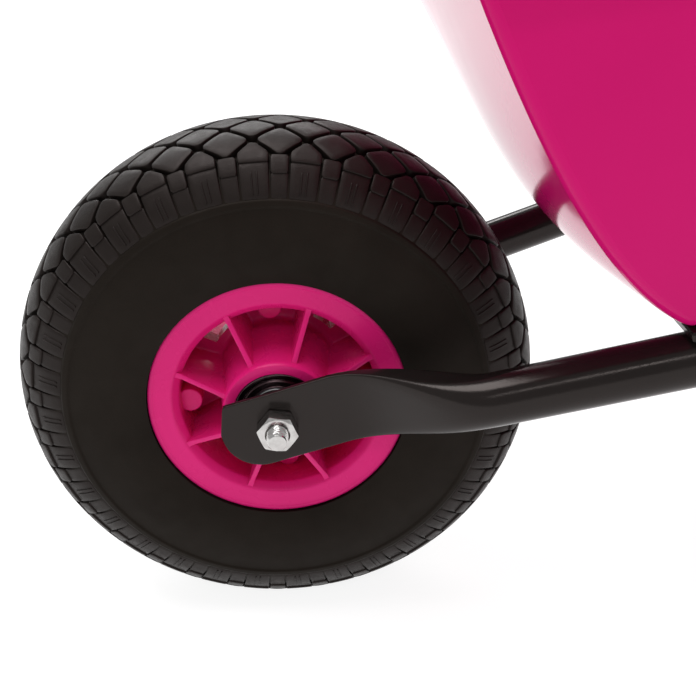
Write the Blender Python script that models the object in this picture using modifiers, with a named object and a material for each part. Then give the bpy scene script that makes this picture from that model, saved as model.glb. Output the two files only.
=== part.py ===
"""Small single-wheel barrow: steel tube frame, moulded tray, pneumatic wheel on ball bearings.

+X runs back along the barrow to the grips, +Y to its right side and +Z up.  The ground is z = 0 and the
origin lies on it under the middle of the outline.  Lengths are in metres and angles in radians.

Three sets of axes are used.  The wheel and axle parts sit on the axle.  The tubes, rails and tray sit on the
frame datum, whose x runs up along the barrow in the plane of the two tubes, and whose z is square to that
plane.  Each leg sits on a datum of its own, upright and turned to lie along its frame tube.
"""
import math

import bmesh
import bpy
from mathutils import Matrix, Vector

LEFT, RIGHT = -1, 1
SIDES = ((LEFT, "left"), (RIGHT, "right"))

# Fits between pieces
GAP = 0.0003                      # left between faces that touch
SHANK_CLEARANCE = 0.0003          # between a bolt and its hole, all round
CHAMFER = 0.0005                  # the smallest step or bevel
BEARING_RUN = 0.0004              # between the turning and the fixed bearing pieces

# Wheel
TYRE_RADIUS = 0.130
TYRE_HALF_WIDTH = 0.0425
TYRE_WALL = 0.0055
TREAD_THICKNESS = 0.0095
TYRE_SQUARENESS = 2.46            # exponent of the tyre's section: 2 is an ellipse, more is squarer
TYRE_WAIST = 0.338                # how far up from flange to crown the tyre is widest
TYRE_CROWN_ANGLE = math.radians(80)
TYRE_INSIDE_ANGLE = math.radians(-38)
BEAD_WIDTH = 0.0095
TUBE_WALL = 0.0016
TUBE_ROOM = 0.0040                # between the inner tube and the tyre at the sides
TUBE_HEADROOM = 0.0035            # and under the tread
TUBE_FOOTROOM = 0.0042            # and over the rim's barrel
FLANGE_RADIUS = 0.0635
FLANGE_INNER_RADIUS = 0.0520
RIM_HALF_WIDTH = 0.0372
FLANGE_THICKNESS = 0.0030
BARREL_RADIUS = 0.0508
BEAD_SEAT_RADIUS = 0.0533
BARREL_WALL = 0.0032
BARREL_STEPS = (0.60, 0.48)       # where the barrel narrows, as shares of the rim's half width
FLANGE_DISH = 0.0008              # of the flange's face, and the width of its inner edge
FLANGE_LEAD = 0.0042              # depth at which the barrel starts to open out
WEB_THICKNESS = 0.0045
HUB_HALF_WIDTH = 0.0480
HUB_ROOM = 0.0080                 # between the hub's face and the frame's plate
HUB_FACE_RADIUS = 0.0262
HUB_ROOT_RADIUS = 0.0310
HUB_BORE_RADIUS = 0.0160
RIB_COUNT = 8
RIB_THICKNESS = 0.0028
RIB_ANGLE = math.radians(27)      # first rib, from straight back and upwards
RIB_DROPS = (0.0025, 0.0022)      # of a rib's top below the hub's face and below the flange's
RIB_ROOT = 0.0016                 # how far a rib runs into the hub
RIM_SCREW_COUNT = 4
RIM_SCREW_CIRCLE = 0.0425
RIM_SCREW_RADIUS = 0.0025
RIM_SCREW_REACH = 0.0140          # into the left half, from the middle plane
RIM_SCREW_ANGLE = RIB_ANGLE - math.radians(22.5)
RIM_BOSS_RADIUS = 0.0058
RIM_BOSS_HEIGHT = 0.0180
WINDOW_CIRCLE = 0.0410
WINDOW_SIZE = (0.0110, 0.0150)    # in the web: across the radius, and around
VALVE_ANGLE = RIB_ANGLE - math.radians(67.5)
VALVE_OFFSET = 0.0140             # of the stem from the wheel's middle plane
VALVE_STEM_RADIUS = 0.0038
VALVE_BORE_RADIUS = 0.0016
VALVE_INNER_END = 0.0400          # radius at which the stem ends
VALVE_ROOT = 0.0040               # how far the stem runs into the tube
VALVE_CAP_WALL = 0.0014
VALVE_CAP_END = 0.0020            # thickness of the cap's closed end
VALVE_CAP_LENGTH = 0.0090

# Bearings
BEARING_RADIUS = 0.0210
BEARING_WIDTH = 0.0120
BEARING_RING = 0.0029             # thickness of each ring
BEARING_RECESS = 0.0005           # of the bearing's face in the hub
SHIELD_THICKNESS = 0.0006
SHIELD_RECESS = 0.0004
CAGE_SHARE = 0.22                 # half the cage's thickness, over the room between the rings
CAGE_HALF_WIDTH = 0.0012
BALL_COUNT = 8

# Axle
SLEEVE_RADIUS = 0.0100
AXLE_RADIUS = 0.0050
AXLE_NUT_FLATS = 0.0170
AXLE_NUT_HEIGHT = 0.0084
AXLE_HEAD_HEIGHT = 0.0064
AXLE_END = 0.0070                 # of the axle bolt past its nut
AXLE_NUT_TURN = math.radians(-8)
SPACER_WALL = 0.0034

# Frame tubes
SLOPE = math.radians(16.9)
SPLAY = math.radians(8.65)
TUBE_RADIUS = 0.0120
TUBE_THICKNESS = 0.0015
TUBE_DROP = 0.0029                # of the tubes' line below the axle
TUBE_OFFSET = 0.0705              # of the tubes' line from the middle plane, at the axle
PLATE_INNER = HUB_HALF_WIDTH + HUB_ROOM     # inner face of the flattened end, from the middle plane
PLATE_THICKNESS = 0.0032
PLATE_HEIGHT = 0.0360
PLATE_SHIFT = 0.0010              # of the flattened end below the axle
PLATE_FRONT = -0.0260
PLATE_NOSE = 0.0180               # radius of the flattened end's lower corner
PLATE_TOP_CUT = 2.5               # slope of the flattened end's upper corner
PLATE_TIP = 0.0045                # height of the flattened end at its very front
PLATE_END = 0.0280
ROUND_START = 0.1000
BEND_START = 0.6000
BEND_LENGTH = 0.0500
HANDLE_END = 0.7900
HANDLE_DIP = math.radians(8)
GRIP_LENGTH = 0.1150
GRIP_WALL = 0.0040
GRIP_END_THICKNESS = 0.0060
GRIP_COLLAR = 0.0030
GRIP_COLLAR_LENGTH = 0.0040
GRIP_ROUNDING = 0.0030
GRIP_PLAIN = 0.0060               # smooth length at each end
GRIP_RIBS = 6
GRIP_RIB_DEPTH = 0.0009

# Rails and tray
RAIL_THICKNESS = 0.0044
RAIL_WIDTH = 0.0320
RAIL_OVERHANG = 0.0070            # past the middle of each tube
RAIL_EDGE = 0.0008
RAIL_SETBACK = 0.0154             # of the front rail from where the tray's floor starts
REAR_RAIL = 0.5200
TRAY_WALL = 0.0030
TRAY_FLOOR_HALF = 0.1045          # half the floor's width at its front end
TRAY_FLARE = math.radians(16.4)
TRAY_TAPER = math.radians(5.0)
TRAY_TYRE_ROOM = 0.0516           # from the tyre's outside to where the front wall runs into the floor
TRAY_KNEE_REACH = 0.0402          # from there to the point that the front wall's curve is drawn to
TRAY_KNEE_HEIGHT = 0.0590
TRAY_FRONT_REACH = 0.0620         # and to the front rim
TRAY_FRONT_HEIGHT = 0.1950
TRAY_FLOOR_END = 0.5550
TRAY_HEEL = 0.0250                # length of the curve between floor and back wall
TRAY_HEEL_RISE = 0.7              # how far up the back wall it runs, as a share of its length
TRAY_BACK = 0.6350
TRAY_BACK_HEIGHT = 0.1050
TRAY_CROWN = 0.0100               # of the front wall's middle, outwards
TRAY_LIP = 0.0140
TRAY_LIP_DROP = 0.0080
TRAY_EDGE_RADIUS = 0.0050
TRAY_BOLT_SPREAD = 0.0680         # of the tray bolts from the middle plane
TRAY_BOLT_RADIUS = 0.0030
TRAY_BOLT_HEAD = 0.0080
TRAY_BOLT_DOME = 0.0036

# Legs
LEG_POSITION = 0.4700             # along the frame tube
LEG_RADIUS = 0.0105
LEG_THICKNESS = 0.0015
LEG_TAB_HEIGHT = 0.0320
LEG_TAB_THICKNESS = 0.0032
LEG_TAB_TOP = 0.0160
LEG_TAB_BOTTOM = -0.0240
LEG_ROUND_START = -0.0640
LEG_TAB_CORNERS = ((0.0, 0.55), (0.0030, 0.85), (0.0080, 1.0))    # depth below the top, and width
LEG_BOLT_RADIUS = 0.0040
FOOT_HEIGHT = 0.0320
FOOT_WALL = 0.0040
FOOT_BASE = 0.0050
FOOT_CHAMFER = 0.0020
FOOT_SPREAD = 0.0010
BRACE_POSITION = 0.3150           # along the frame tube
BRACE_WIDTH = 0.0180
BRACE_THICKNESS = 0.0030
BRACE_FOOT = 0.0850               # height of its lower end
BRACE_OVERLAP = 0.0090            # of its ends past their centres
BRACE_JOGGLE = (0.55, 0.85)       # where it steps out to the leg, as shares of its length
BRACE_BOLT_RADIUS = 0.0030
TIE_RADIUS = 0.0080
TIE_HEIGHT = 0.1300

# Fastener proportions, as multiples of the shank's radius
FLATS_RATIO = 3.2
HEAD_RATIO = 1.3
NUT_RATIO = 1.6
TIP_RATIO = 0.15
BOLT_SPARE = 0.0020               # of a bolt past its nut

CUT = 0.0020                      # how far a cutter stands past what it cuts

# Colour, roughness and metallic value of each finish
FINISHES = {
    "black_rubber": ((0.018, 0.016, 0.015), 0.75, 0.0),
    "pink_plastic": ((0.66, 0.030, 0.185), 0.35, 0.0),
    "pink_tray": ((0.56, 0.020, 0.150), 0.25, 0.0),
    "black_paint": ((0.016, 0.015, 0.015), 0.28, 0.0),
    "zinc": ((0.62, 0.62, 0.60), 0.30, 1.0),
    "bearing_steel": ((0.48, 0.48, 0.50), 0.25, 1.0),
    "brass": ((0.60, 0.45, 0.18), 0.35, 1.0),
    "black_plastic": ((0.020, 0.020, 0.021), 0.50, 0.0),
}

STEPS = 36                        # around a large turned piece
SMALL_STEPS = 20                  # around a small one
SECTION_POINTS = 12               # around a tube
SMOOTH_ANGLE = math.radians(35)

# Worked out from the sizes above
AXLE_HEIGHT = TYRE_RADIUS
TYRE_WAIST_RADIUS = FLANGE_RADIUS + TYRE_WAIST * (TYRE_RADIUS - FLANGE_RADIUS)
TYRE_SECTION_HEIGHT = TYRE_RADIUS - TYRE_WAIST_RADIUS
AXLE_ALONG = TUBE_DROP * math.sin(SLOPE)
AXLE_UP = TUBE_DROP * math.cos(SLOPE)
PLATE_MIDDLE = PLATE_INNER + PLATE_THICKNESS / 2
PLATE_OUTER = PLATE_INNER + PLATE_THICKNESS
PLATE_CENTRE = AXLE_UP - PLATE_SHIFT
BEARING_FACE = HUB_HALF_WIDTH - BEARING_RECESS
BEARING_SEAT_RADIUS = BEARING_RADIUS + GAP
BEARING_BORE_RADIUS = SLEEVE_RADIUS + GAP
RAIL_TOP = TUBE_RADIUS + GAP + RAIL_THICKNESS
TRAY_FLOOR = RAIL_TOP + GAP
TRAY_TOE = TYRE_RADIUS + TRAY_TYRE_ROOM
TRAY_KNEE = (TRAY_TOE - TRAY_KNEE_REACH, TRAY_KNEE_HEIGHT)
TRAY_FRONT = TRAY_TOE - TRAY_FRONT_REACH
FRONT_RAIL = TRAY_TOE + RAIL_SETBACK
LEG_MIDDLE = TUBE_RADIUS + GAP + LEG_TAB_THICKNESS / 2
HEADING = math.atan(math.tan(SPLAY) / math.cos(SLOPE))


# ---------------------------------------------------------------- small tools

def clear_scene():
    """Remove every object that the file opens with."""
    for item in list(bpy.data.objects):
        bpy.data.objects.remove(item, do_unlink=True)


def new_collection(name):
    """Make a collection and show it in the scene."""
    made = bpy.data.collections.new(name)
    bpy.context.scene.collection.children.link(made)
    return made


def new_material(name, colour, roughness, metallic):
    """Make one plain finish."""
    made = bpy.data.materials.new(name)
    made.use_nodes = True
    shader = made.node_tree.nodes["Principled BSDF"]
    shader.inputs["Base Color"].default_value = (*colour, 1.0)
    shader.inputs["Roughness"].default_value = roughness
    shader.inputs["Metallic"].default_value = metallic
    made.diffuse_color = (*colour, 1.0)
    return made


def new_empty(name, parent=None, location=(0, 0, 0), rotation=(0, 0, 0)):
    """Make a datum that pieces hang on."""
    made = bpy.data.objects.new(name, None)
    made.empty_display_size = 0.03
    made.parent = parent
    made.location = location
    made.rotation_euler = rotation
    PARTS.objects.link(made)
    return made


def new_piece(name, mesh, finish, parent, location=(0, 0, 0), rotation=(0, 0, 0)):
    """Make a named piece from a mesh, with its finish and its place."""
    made = bpy.data.objects.new(name, mesh)
    PARTS.objects.link(made)
    mesh.materials.append(MATERIALS[finish])
    mesh.shade_smooth()
    mesh.set_sharp_from_angle(angle=SMOOTH_ANGLE)
    made.parent = parent
    made.location = location
    made.rotation_euler = rotation
    return made


def mesh_from(name, bm, under=None):
    """Turn a working mesh into mesh data, faces outwards.

    On an open surface, the face given as under is made to point down, and the rest follow it.
    """
    bmesh.ops.recalc_face_normals(bm, faces=bm.faces[:])
    if under is not None and under.normal.z > 0:
        bmesh.ops.reverse_faces(bm, faces=bm.faces[:])
    mesh = bpy.data.meshes.new(name)
    bm.to_mesh(mesh)
    bm.free()
    return mesh


def add_boolean(piece, bm, operation):
    """Join or cut a piece with the closed bodies of a working mesh, given in the piece's own axes."""
    mesh = mesh_from(f"{piece.name}_{operation.lower()}", bm)
    tool = bpy.data.objects.new(mesh.name, mesh)
    CUTTERS.objects.link(tool)
    tool.parent = piece
    tool.hide_render = True
    tool.display_type = "WIRE"
    modifier = piece.modifiers.new(operation.lower(), "BOOLEAN")
    modifier.operation = operation
    modifier.solver = "EXACT"
    modifier.object = tool


def add_rod(bm, radius, start, end, segments=SMALL_STEPS):
    """Add a closed cylinder between two points."""
    start, end = Vector(start), Vector(end)
    axis = end - start
    place = Matrix.Translation((start + end) / 2) @ axis.to_track_quat("Z", "Y").to_matrix().to_4x4()
    bmesh.ops.create_cone(bm, cap_ends=True, segments=segments, radius1=radius, radius2=radius,
                          depth=axis.length, matrix=place)


def add_prism(bm, outline, thickness, matrix):
    """Add a flat outline in x and z, made as thick as stated across y."""
    rings = []
    for y in (-thickness / 2, thickness / 2):
        rings.append([bm.verts.new(matrix @ Vector((x, y, z))) for x, z in outline])
    skin_rings(bm, rings)


def skin_rings(bm, rings, closed=False):
    """Join neighbouring rings of vertices with faces, and close the two ends or the loop."""
    count = len(rings[0])
    pairs = list(zip(rings, rings[1:] + rings[:1]))
    if not closed:
        pairs.pop()
        bm.faces.new(rings[0])
        bm.faces.new(rings[-1])
    for one, other in pairs:
        for i in range(count):
            j = (i + 1) % count
            bm.faces.new((one[i], one[j], other[j], other[i]))


def loft(name, rings, closed=False):
    """Make mesh data from rings of points."""
    bm = bmesh.new()
    skin_rings(bm, [[bm.verts.new(point) for point in ring] for ring in rings], closed)
    return mesh_from(name, bm)


def turned(name, profile, finish, parent, side=None, steps=STEPS, open_chain=False,
           location=(0, 0, 0), rotation=None):
    """Turn a profile of (radius, height) round the piece's z.

    The profile runs down its outer side.  Given a side, z points out along the axle to that side.
    """
    bm = bmesh.new()
    verts = [bm.verts.new((radius, 0, height)) for radius, height in profile]
    chain = verts if open_chain else verts + verts[:1]
    for one, other in zip(chain, chain[1:]):
        bm.edges.new((one, other))
    mesh = bpy.data.meshes.new(name)
    bm.to_mesh(mesh)
    bm.free()
    if side is not None:
        rotation = (-side * math.pi / 2, 0, 0)
    piece = new_piece(name, mesh, finish, parent, location, rotation or (0, 0, 0))
    screw = piece.modifiers.new("turn", "SCREW")
    screw.steps = steps
    screw.render_steps = steps
    screw.use_merge_vertices = True
    screw.merge_threshold = 0.00001
    screw.use_smooth_shade = True
    return piece


def ring_profile(inner, outer, low, high):
    """Profile of a plain ring."""
    return [(outer, high), (outer, low), (inner, low), (inner, high)]


def circle_ring(radius, height, count=12):
    """Points of a circle at a height."""
    return [Vector((radius * math.cos(a), radius * math.sin(a), height))
            for a in (2 * math.pi * i / count for i in range(count))]


def hex_ring(flats, height):
    """Twelve points of a hexagon at a height: its corners and the middles of its flats."""
    corner, middle = flats / math.sqrt(3), flats / 2
    return [Vector((r * math.cos(a), r * math.sin(a), height))
            for r, a in ((middle if i % 2 else corner, math.pi * i / 6) for i in range(12))]


def aim(axis, turn=0.0):
    """Rotation that points z along an axis."""
    return (Vector(axis).to_track_quat("Z", "X").to_matrix() @ Matrix.Rotation(turn, 3, "Z")).to_euler()


def hex_bolt(name, radius, length, parent, location, axis, flats=None, head=None):
    """Bolt whose head stands on the location, out along the axis."""
    flats = flats or radius * FLATS_RATIO
    head = head or radius * HEAD_RATIO
    tip = TIP_RATIO * radius
    rings = [hex_ring(flats, head), hex_ring(flats, 0.0), circle_ring(radius, 0.0),
             circle_ring(radius, tip - length), circle_ring(radius - tip, -length)]
    return new_piece(name, loft(name, rings), "zinc", parent, location, aim(axis))


def hex_nut(name, radius, parent, location, axis, flats=None, height=None, turn=0.0):
    """Nut that stands on the location, out along the axis."""
    flats = flats or radius * FLATS_RATIO
    height = height or radius * NUT_RATIO
    bore = radius + SHANK_CLEARANCE
    rings = [hex_ring(flats, 0.0), hex_ring(flats, height), circle_ring(bore, height),
             circle_ring(bore, 0.0)]
    return new_piece(name, loft(name, rings, closed=True), "zinc", parent, location, aim(axis, turn))


def smooth_step(start, end, value):
    """Rise smoothly from 0 at the start to 1 at the end."""
    t = min(max((value - start) / (end - start), 0.0), 1.0)
    return t * t * (3 - 2 * t)


def tube_section(roundness, low, high, half_thin, radius):
    """Section of a tube that is flattened at roundness 0 and round at 1, as (long way, thin way) pairs.

    The flattened shape is a bar with small chamfers, from low to high the long way.
    """
    points = []
    for i in range(SECTION_POINTS):
        angle = 2 * math.pi * (i + 0.5) / SECTION_POINTS
        long_way, thin_way = math.sin(angle), math.cos(angle)
        flat_long = (low + high) / 2 + (high - low) / 2 * min(max(1.02 * long_way, -1), 1)
        flat_thin = half_thin * min(max(2.0 * thin_way, -1), 1)
        round_long = (low + high) / 2 + radius * long_way
        points.append(((1 - roundness) * flat_long + roundness * round_long,
                       (1 - roundness) * flat_thin + roundness * radius * thin_way))
    return points


# ---------------------------------------------------------------- wheel

def tyre_section(half_width, height, start, end, count):
    """Points (radius, across) of half a tyre section, from one angle to the other.

    At angle 0 the point is on the widest line, and at the crown's angle it has the crown's full radius.
    """
    points = []
    for i in range(count):
        angle = start + (end - start) * i / (count - 1)
        up, out = math.sin(angle) / math.sin(TYRE_CROWN_ANGLE), math.cos(angle)
        rise = math.copysign(abs(up) ** (2 / TYRE_SQUARENESS), up) * height
        points.append((TYRE_WAIST_RADIUS + rise, abs(out) ** (2 / TYRE_SQUARENESS) * half_width))
    return points


def mirrored(points):
    """Points of a half profile, and the same on the other side in reverse order."""
    return points + [(radius, -across) for radius, across in reversed(points)]


def make_tyre(parent):
    """Tyre with an open section, whose beads sit on the rim behind its flanges."""
    bead_out = RIM_HALF_WIDTH - FLANGE_THICKNESS - GAP
    bead_in = bead_out - BEAD_WIDTH
    bead_radius = BEAD_SEAT_RADIUS + GAP
    drop = (TYRE_WAIST_RADIUS - FLANGE_RADIUS) / TYRE_SECTION_HEIGHT
    foot = -math.asin(math.sin(TYRE_CROWN_ANGLE) * drop ** (TYRE_SQUARENESS / 2))
    outer = tyre_section(TYRE_HALF_WIDTH, TYRE_SECTION_HEIGHT, TYRE_CROWN_ANGLE, foot, 7)
    outer += [(FLANGE_RADIUS + GAP, outer[-1][1]), (FLANGE_RADIUS + GAP, bead_out), (bead_radius, bead_out),
              (bead_radius, bead_in)]
    inner = tyre_section(TYRE_HALF_WIDTH - TYRE_WALL, TYRE_SECTION_HEIGHT - TREAD_THICKNESS,
                         TYRE_INSIDE_ANGLE, TYRE_CROWN_ANGLE, 5)
    section = mirrored(outer[::-1]) + mirrored(inner)[::-1]
    return turned("tyre", section, "black_rubber", parent, LEFT)


def make_inner_tube(parent):
    """Thin ring tube with its valve stem, hollow from the tube to the stem's end."""
    half_width = TYRE_HALF_WIDTH - TYRE_WALL - TUBE_ROOM
    height = TYRE_SECTION_HEIGHT - TREAD_THICKNESS - TUBE_HEADROOM
    bottom = BARREL_RADIUS + TUBE_FOOTROOM
    depth = TYRE_WAIST_RADIUS - bottom

    def ring(shrink):
        points = []
        for i in range(12):
            a = math.radians(90 - 360 * i / 12)
            reach = (height if math.sin(a) > 0 else depth) - shrink
            points.append((TYRE_WAIST_RADIUS + reach * math.sin(a), (half_width - shrink) * math.cos(a)))
        return points

    tube = turned("inner_tube", ring(0.0), "black_rubber", parent, LEFT)
    stem_angle = rim_angle(RIGHT, VALVE_ANGLE)
    way = Vector((math.cos(stem_angle), math.sin(-stem_angle), 0))
    up = Vector((0, 0, -VALVE_OFFSET))
    bm = bmesh.new()
    add_rod(bm, VALVE_STEM_RADIUS, way * VALVE_INNER_END + up, way * (bottom + VALVE_ROOT) + up, 16)
    add_boolean(tube, bm, "UNION")
    bm = bmesh.new()
    rings = []
    for i in range(STEPS):
        a = 2 * math.pi * i / STEPS
        rings.append([bm.verts.new((r * math.cos(a), r * math.sin(a), z)) for r, z in ring(TUBE_WALL)])
    skin_rings(bm, rings, closed=True)
    add_boolean(tube, bm, "DIFFERENCE")
    bm = bmesh.new()
    top = way * (bottom + 3 * VALVE_ROOT) + up
    add_rod(bm, VALVE_BORE_RADIUS, way * (VALVE_INNER_END - CUT) + up, top, 12)
    add_boolean(tube, bm, "DIFFERENCE")

    bore = VALVE_STEM_RADIUS + GAP
    profile = [(0, VALVE_CAP_END), (bore + VALVE_CAP_WALL, VALVE_CAP_END),
               (bore + VALVE_CAP_WALL, VALVE_CAP_END - VALVE_CAP_LENGTH),
               (bore, VALVE_CAP_END - VALVE_CAP_LENGTH), (bore, 0), (0, 0)]
    world_way = Vector((math.cos(VALVE_ANGLE), 0, math.sin(VALVE_ANGLE)))
    place = world_way * (VALVE_INNER_END - GAP) + Vector((0, VALVE_OFFSET, 0))
    turned("valve_cap", profile, "black_plastic", parent, None, 16, True, place, aim(-world_way))


def rim_angle(side, angle):
    """Angle in a rim half's own axes, of an angle seen from the left with straight back at 0."""
    return -side * angle


def make_rim_half(side, label, parent):
    """Half of the rim: flange, barrel, web and hub in one turned shape, with ribs, bosses and windows."""
    floor = GAP / 2
    web = floor + WEB_THICKNESS
    seat = BEARING_FACE - BEARING_WIDTH - GAP
    inner = BARREL_RADIUS - BARREL_WALL
    back = RIM_HALF_WIDTH - FLANGE_THICKNESS
    profile = [
        (FLANGE_RADIUS, RIM_HALF_WIDTH),
        (FLANGE_RADIUS, back),
        (BEAD_SEAT_RADIUS, back),
        (BEAD_SEAT_RADIUS - CHAMFER, RIM_HALF_WIDTH * BARREL_STEPS[0]),
        (BARREL_RADIUS, RIM_HALF_WIDTH * BARREL_STEPS[1]),
        (BARREL_RADIUS, floor),
        (HUB_BORE_RADIUS, floor),
        (HUB_BORE_RADIUS, seat),
        (BEARING_SEAT_RADIUS, seat),
        (BEARING_SEAT_RADIUS, HUB_HALF_WIDTH),
        (HUB_FACE_RADIUS, HUB_HALF_WIDTH),
        (HUB_ROOT_RADIUS, web),
        (inner, web),
        (inner + FLANGE_DISH, RIM_HALF_WIDTH - FLANGE_LEAD),
        (FLANGE_INNER_RADIUS, RIM_HALF_WIDTH - FLANGE_DISH),
        (FLANGE_INNER_RADIUS + FLANGE_DISH, RIM_HALF_WIDTH),
    ]
    rim = turned(f"rim_half_{label}", profile, "pink_plastic", parent, side)

    ribs = bmesh.new()
    root = web - CUT / 2
    outline = [(HUB_FACE_RADIUS - RIB_ROOT, root), (FLANGE_INNER_RADIUS - FLANGE_DISH, root),
               (FLANGE_INNER_RADIUS - FLANGE_DISH, RIM_HALF_WIDTH - RIB_DROPS[1]),
               (HUB_FACE_RADIUS - RIB_ROOT, HUB_HALF_WIDTH - RIB_DROPS[0])]
    for k in range(RIB_COUNT):
        angle = rim_angle(side, RIB_ANGLE + 2 * math.pi * k / RIB_COUNT)
        add_prism(ribs, outline, RIB_THICKNESS, Matrix.Rotation(angle, 4, "Z"))
    for k in range(RIM_SCREW_COUNT):
        x, y = screw_place(side, k)
        add_rod(ribs, RIM_BOSS_RADIUS, (x, y, root), (x, y, RIM_BOSS_HEIGHT))
    add_boolean(rim, ribs, "UNION")

    cuts = bmesh.new()
    deep = RIM_SCREW_REACH + CHAMFER if side == LEFT else RIM_BOSS_HEIGHT + CUT
    for k in range(RIM_SCREW_COUNT):
        x, y = screw_place(side, k)
        add_rod(cuts, RIM_SCREW_RADIUS + SHANK_CLEARANCE, (x, y, -CUT), (x, y, deep), 12)
        angle = rim_angle(side, RIM_SCREW_ANGLE + math.radians(45) + k * math.pi / 2)
        block = Matrix.Rotation(angle, 4, "Z") @ Matrix.Translation((WINDOW_CIRCLE, 0, web / 2))
        size = Matrix.Diagonal((*WINDOW_SIZE, 2 * web, 1))
        bmesh.ops.create_cube(cuts, size=1.0, matrix=block @ size)
    if side == RIGHT:
        angle = rim_angle(side, VALVE_ANGLE)
        way = Vector((math.cos(angle), math.sin(angle), 0))
        up = Vector((0, 0, VALVE_OFFSET))
        add_rod(cuts, VALVE_STEM_RADIUS + SHANK_CLEARANCE, way * (inner - 2 * CUT) + up,
                way * (BEAD_SEAT_RADIUS + CUT) + up, 16)
    add_boolean(rim, cuts, "DIFFERENCE")


def screw_place(side, index):
    """Place of a rim screw in a rim half's own axes."""
    angle = rim_angle(side, RIM_SCREW_ANGLE + 2 * math.pi * index / RIM_SCREW_COUNT)
    return RIM_SCREW_CIRCLE * math.cos(angle), RIM_SCREW_CIRCLE * math.sin(angle)


def make_rim_screws(parent):
    """Four screws through the right half of the rim into blind bosses in the left half."""
    seat = RIM_BOSS_HEIGHT + GAP
    for k in range(RIM_SCREW_COUNT):
        x, z = screw_place(LEFT, k)
        hex_bolt(f"rim_screw_{k + 1}", RIM_SCREW_RADIUS, seat + RIM_SCREW_REACH, parent, (x, seat, z),
                 (0, 1, 0))


def make_bearing(side, label, wheel, axle):
    """Ball bearing: outer ring, shield and caged balls turn with the wheel, the inner ring stays."""
    low, high = BEARING_FACE - BEARING_WIDTH, BEARING_FACE
    race_out = BEARING_RADIUS - BEARING_RING
    race_in = BEARING_BORE_RADIUS + BEARING_RING
    turned(f"bearing_outer_{label}", ring_profile(race_out, BEARING_RADIUS, low, high), "bearing_steel",
           wheel, side)
    turned(f"bearing_inner_{label}", ring_profile(BEARING_BORE_RADIUS, race_in, low, high),
           "bearing_steel", axle, side, SMALL_STEPS)
    top = high - SHIELD_RECESS
    turned(f"bearing_shield_{label}",
           ring_profile(race_in + BEARING_RUN, race_out - GAP, top - SHIELD_THICKNESS, top),
           "bearing_steel", wheel, side, SMALL_STEPS)
    middle = (low + high) / 2
    race_middle = (race_in + race_out) / 2
    ball = (race_out - race_in) / 2 - BEARING_RUN
    cage_half = (race_out - race_in) * CAGE_SHARE
    cage = turned(f"ball_cage_{label}",
                  ring_profile(race_middle - cage_half, race_middle + cage_half,
                               middle - CAGE_HALF_WIDTH, middle + CAGE_HALF_WIDTH),
                  "brass", wheel, side, SMALL_STEPS)
    balls = bmesh.new()
    for k in range(BALL_COUNT):
        angle = 2 * math.pi * k / BALL_COUNT
        spot = Matrix.Translation((race_middle * math.cos(angle), race_middle * math.sin(angle), middle))
        bmesh.ops.create_uvsphere(balls, u_segments=6, v_segments=4, radius=ball, matrix=spot)
    add_boolean(cage, balls, "UNION")


def make_axle(parent):
    """Axle bolt, nut, the sleeve that it clamps between the frame's plates, and a spacer each side."""
    half = PLATE_INNER - GAP
    turned("axle_sleeve", ring_profile(AXLE_RADIUS + SHANK_CLEARANCE, SLEEVE_RADIUS, -half, half), "zinc",
           parent, LEFT, SMALL_STEPS)
    for side, label in SIDES:
        inner = BEARING_BORE_RADIUS
        turned(f"hub_spacer_{label}",
               ring_profile(inner, inner + SPACER_WALL - BEARING_RUN, BEARING_FACE + GAP, half), "zinc",
               parent, side, SMALL_STEPS)
    seat = PLATE_OUTER + GAP
    length = 2 * seat + AXLE_NUT_HEIGHT + AXLE_END
    hex_bolt("axle_bolt", AXLE_RADIUS, length, parent, (0, seat, 0), (0, 1, 0), AXLE_NUT_FLATS,
             AXLE_HEAD_HEIGHT)
    hex_nut("axle_nut", AXLE_RADIUS, parent, (0, -seat, 0), (0, -1, 0), AXLE_NUT_FLATS, AXLE_NUT_HEIGHT,
            AXLE_NUT_TURN)


# ---------------------------------------------------------------- frame

def tube_centre(along, side):
    """Point on a frame tube's middle line, in the frame's axes.

    The line is straight and splayed, comes in to the wheel at the flattened end, and bends at the handle
    until it is parallel to the middle plane and dips by the handle's angle.
    """
    past = min(max(along - BEND_START, 0.0), BEND_LENGTH)
    beyond = max(along - BEND_START - BEND_LENGTH, 0.0)
    spread = math.tan(SPLAY)
    across = TUBE_OFFSET + spread * (min(along, BEND_START) + past - past ** 2 / (2 * BEND_LENGTH))
    up = -math.tan(HANDLE_DIP) * (past ** 2 / (2 * BEND_LENGTH) + beyond)
    blend = smooth_step(PLATE_END, ROUND_START, along)
    return Vector((along, side * ((1 - blend) * PLATE_MIDDLE + blend * across),
                   (1 - blend) * PLATE_CENTRE + blend * up))


def tube_ring(along, side, radius):
    """One section of a frame tube, square to its middle line."""
    step = CHAMFER
    centre = tube_centre(along, side)
    if along <= PLATE_END:
        way = Vector((1, 0, 0))
    else:
        way = (tube_centre(along + step, side) - tube_centre(along - step, side)).normalized()
    across = Vector((0, 0, 1)).cross(way).normalized()
    up = way.cross(across)
    half = PLATE_HEIGHT / 2
    past_front = along - PLATE_FRONT
    high = min(half, past_front * PLATE_TOP_CUT + PLATE_TIP)
    low = -half
    if past_front < PLATE_NOSE:
        low += PLATE_NOSE - math.sqrt(PLATE_NOSE ** 2 - (PLATE_NOSE - past_front) ** 2)
    roundness = smooth_step(PLATE_END, ROUND_START, along)
    section = tube_section(roundness, low, high, PLATE_THICKNESS / 2, radius)
    return [centre + up * long_way + across * thin_way for long_way, thin_way in section]


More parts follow.
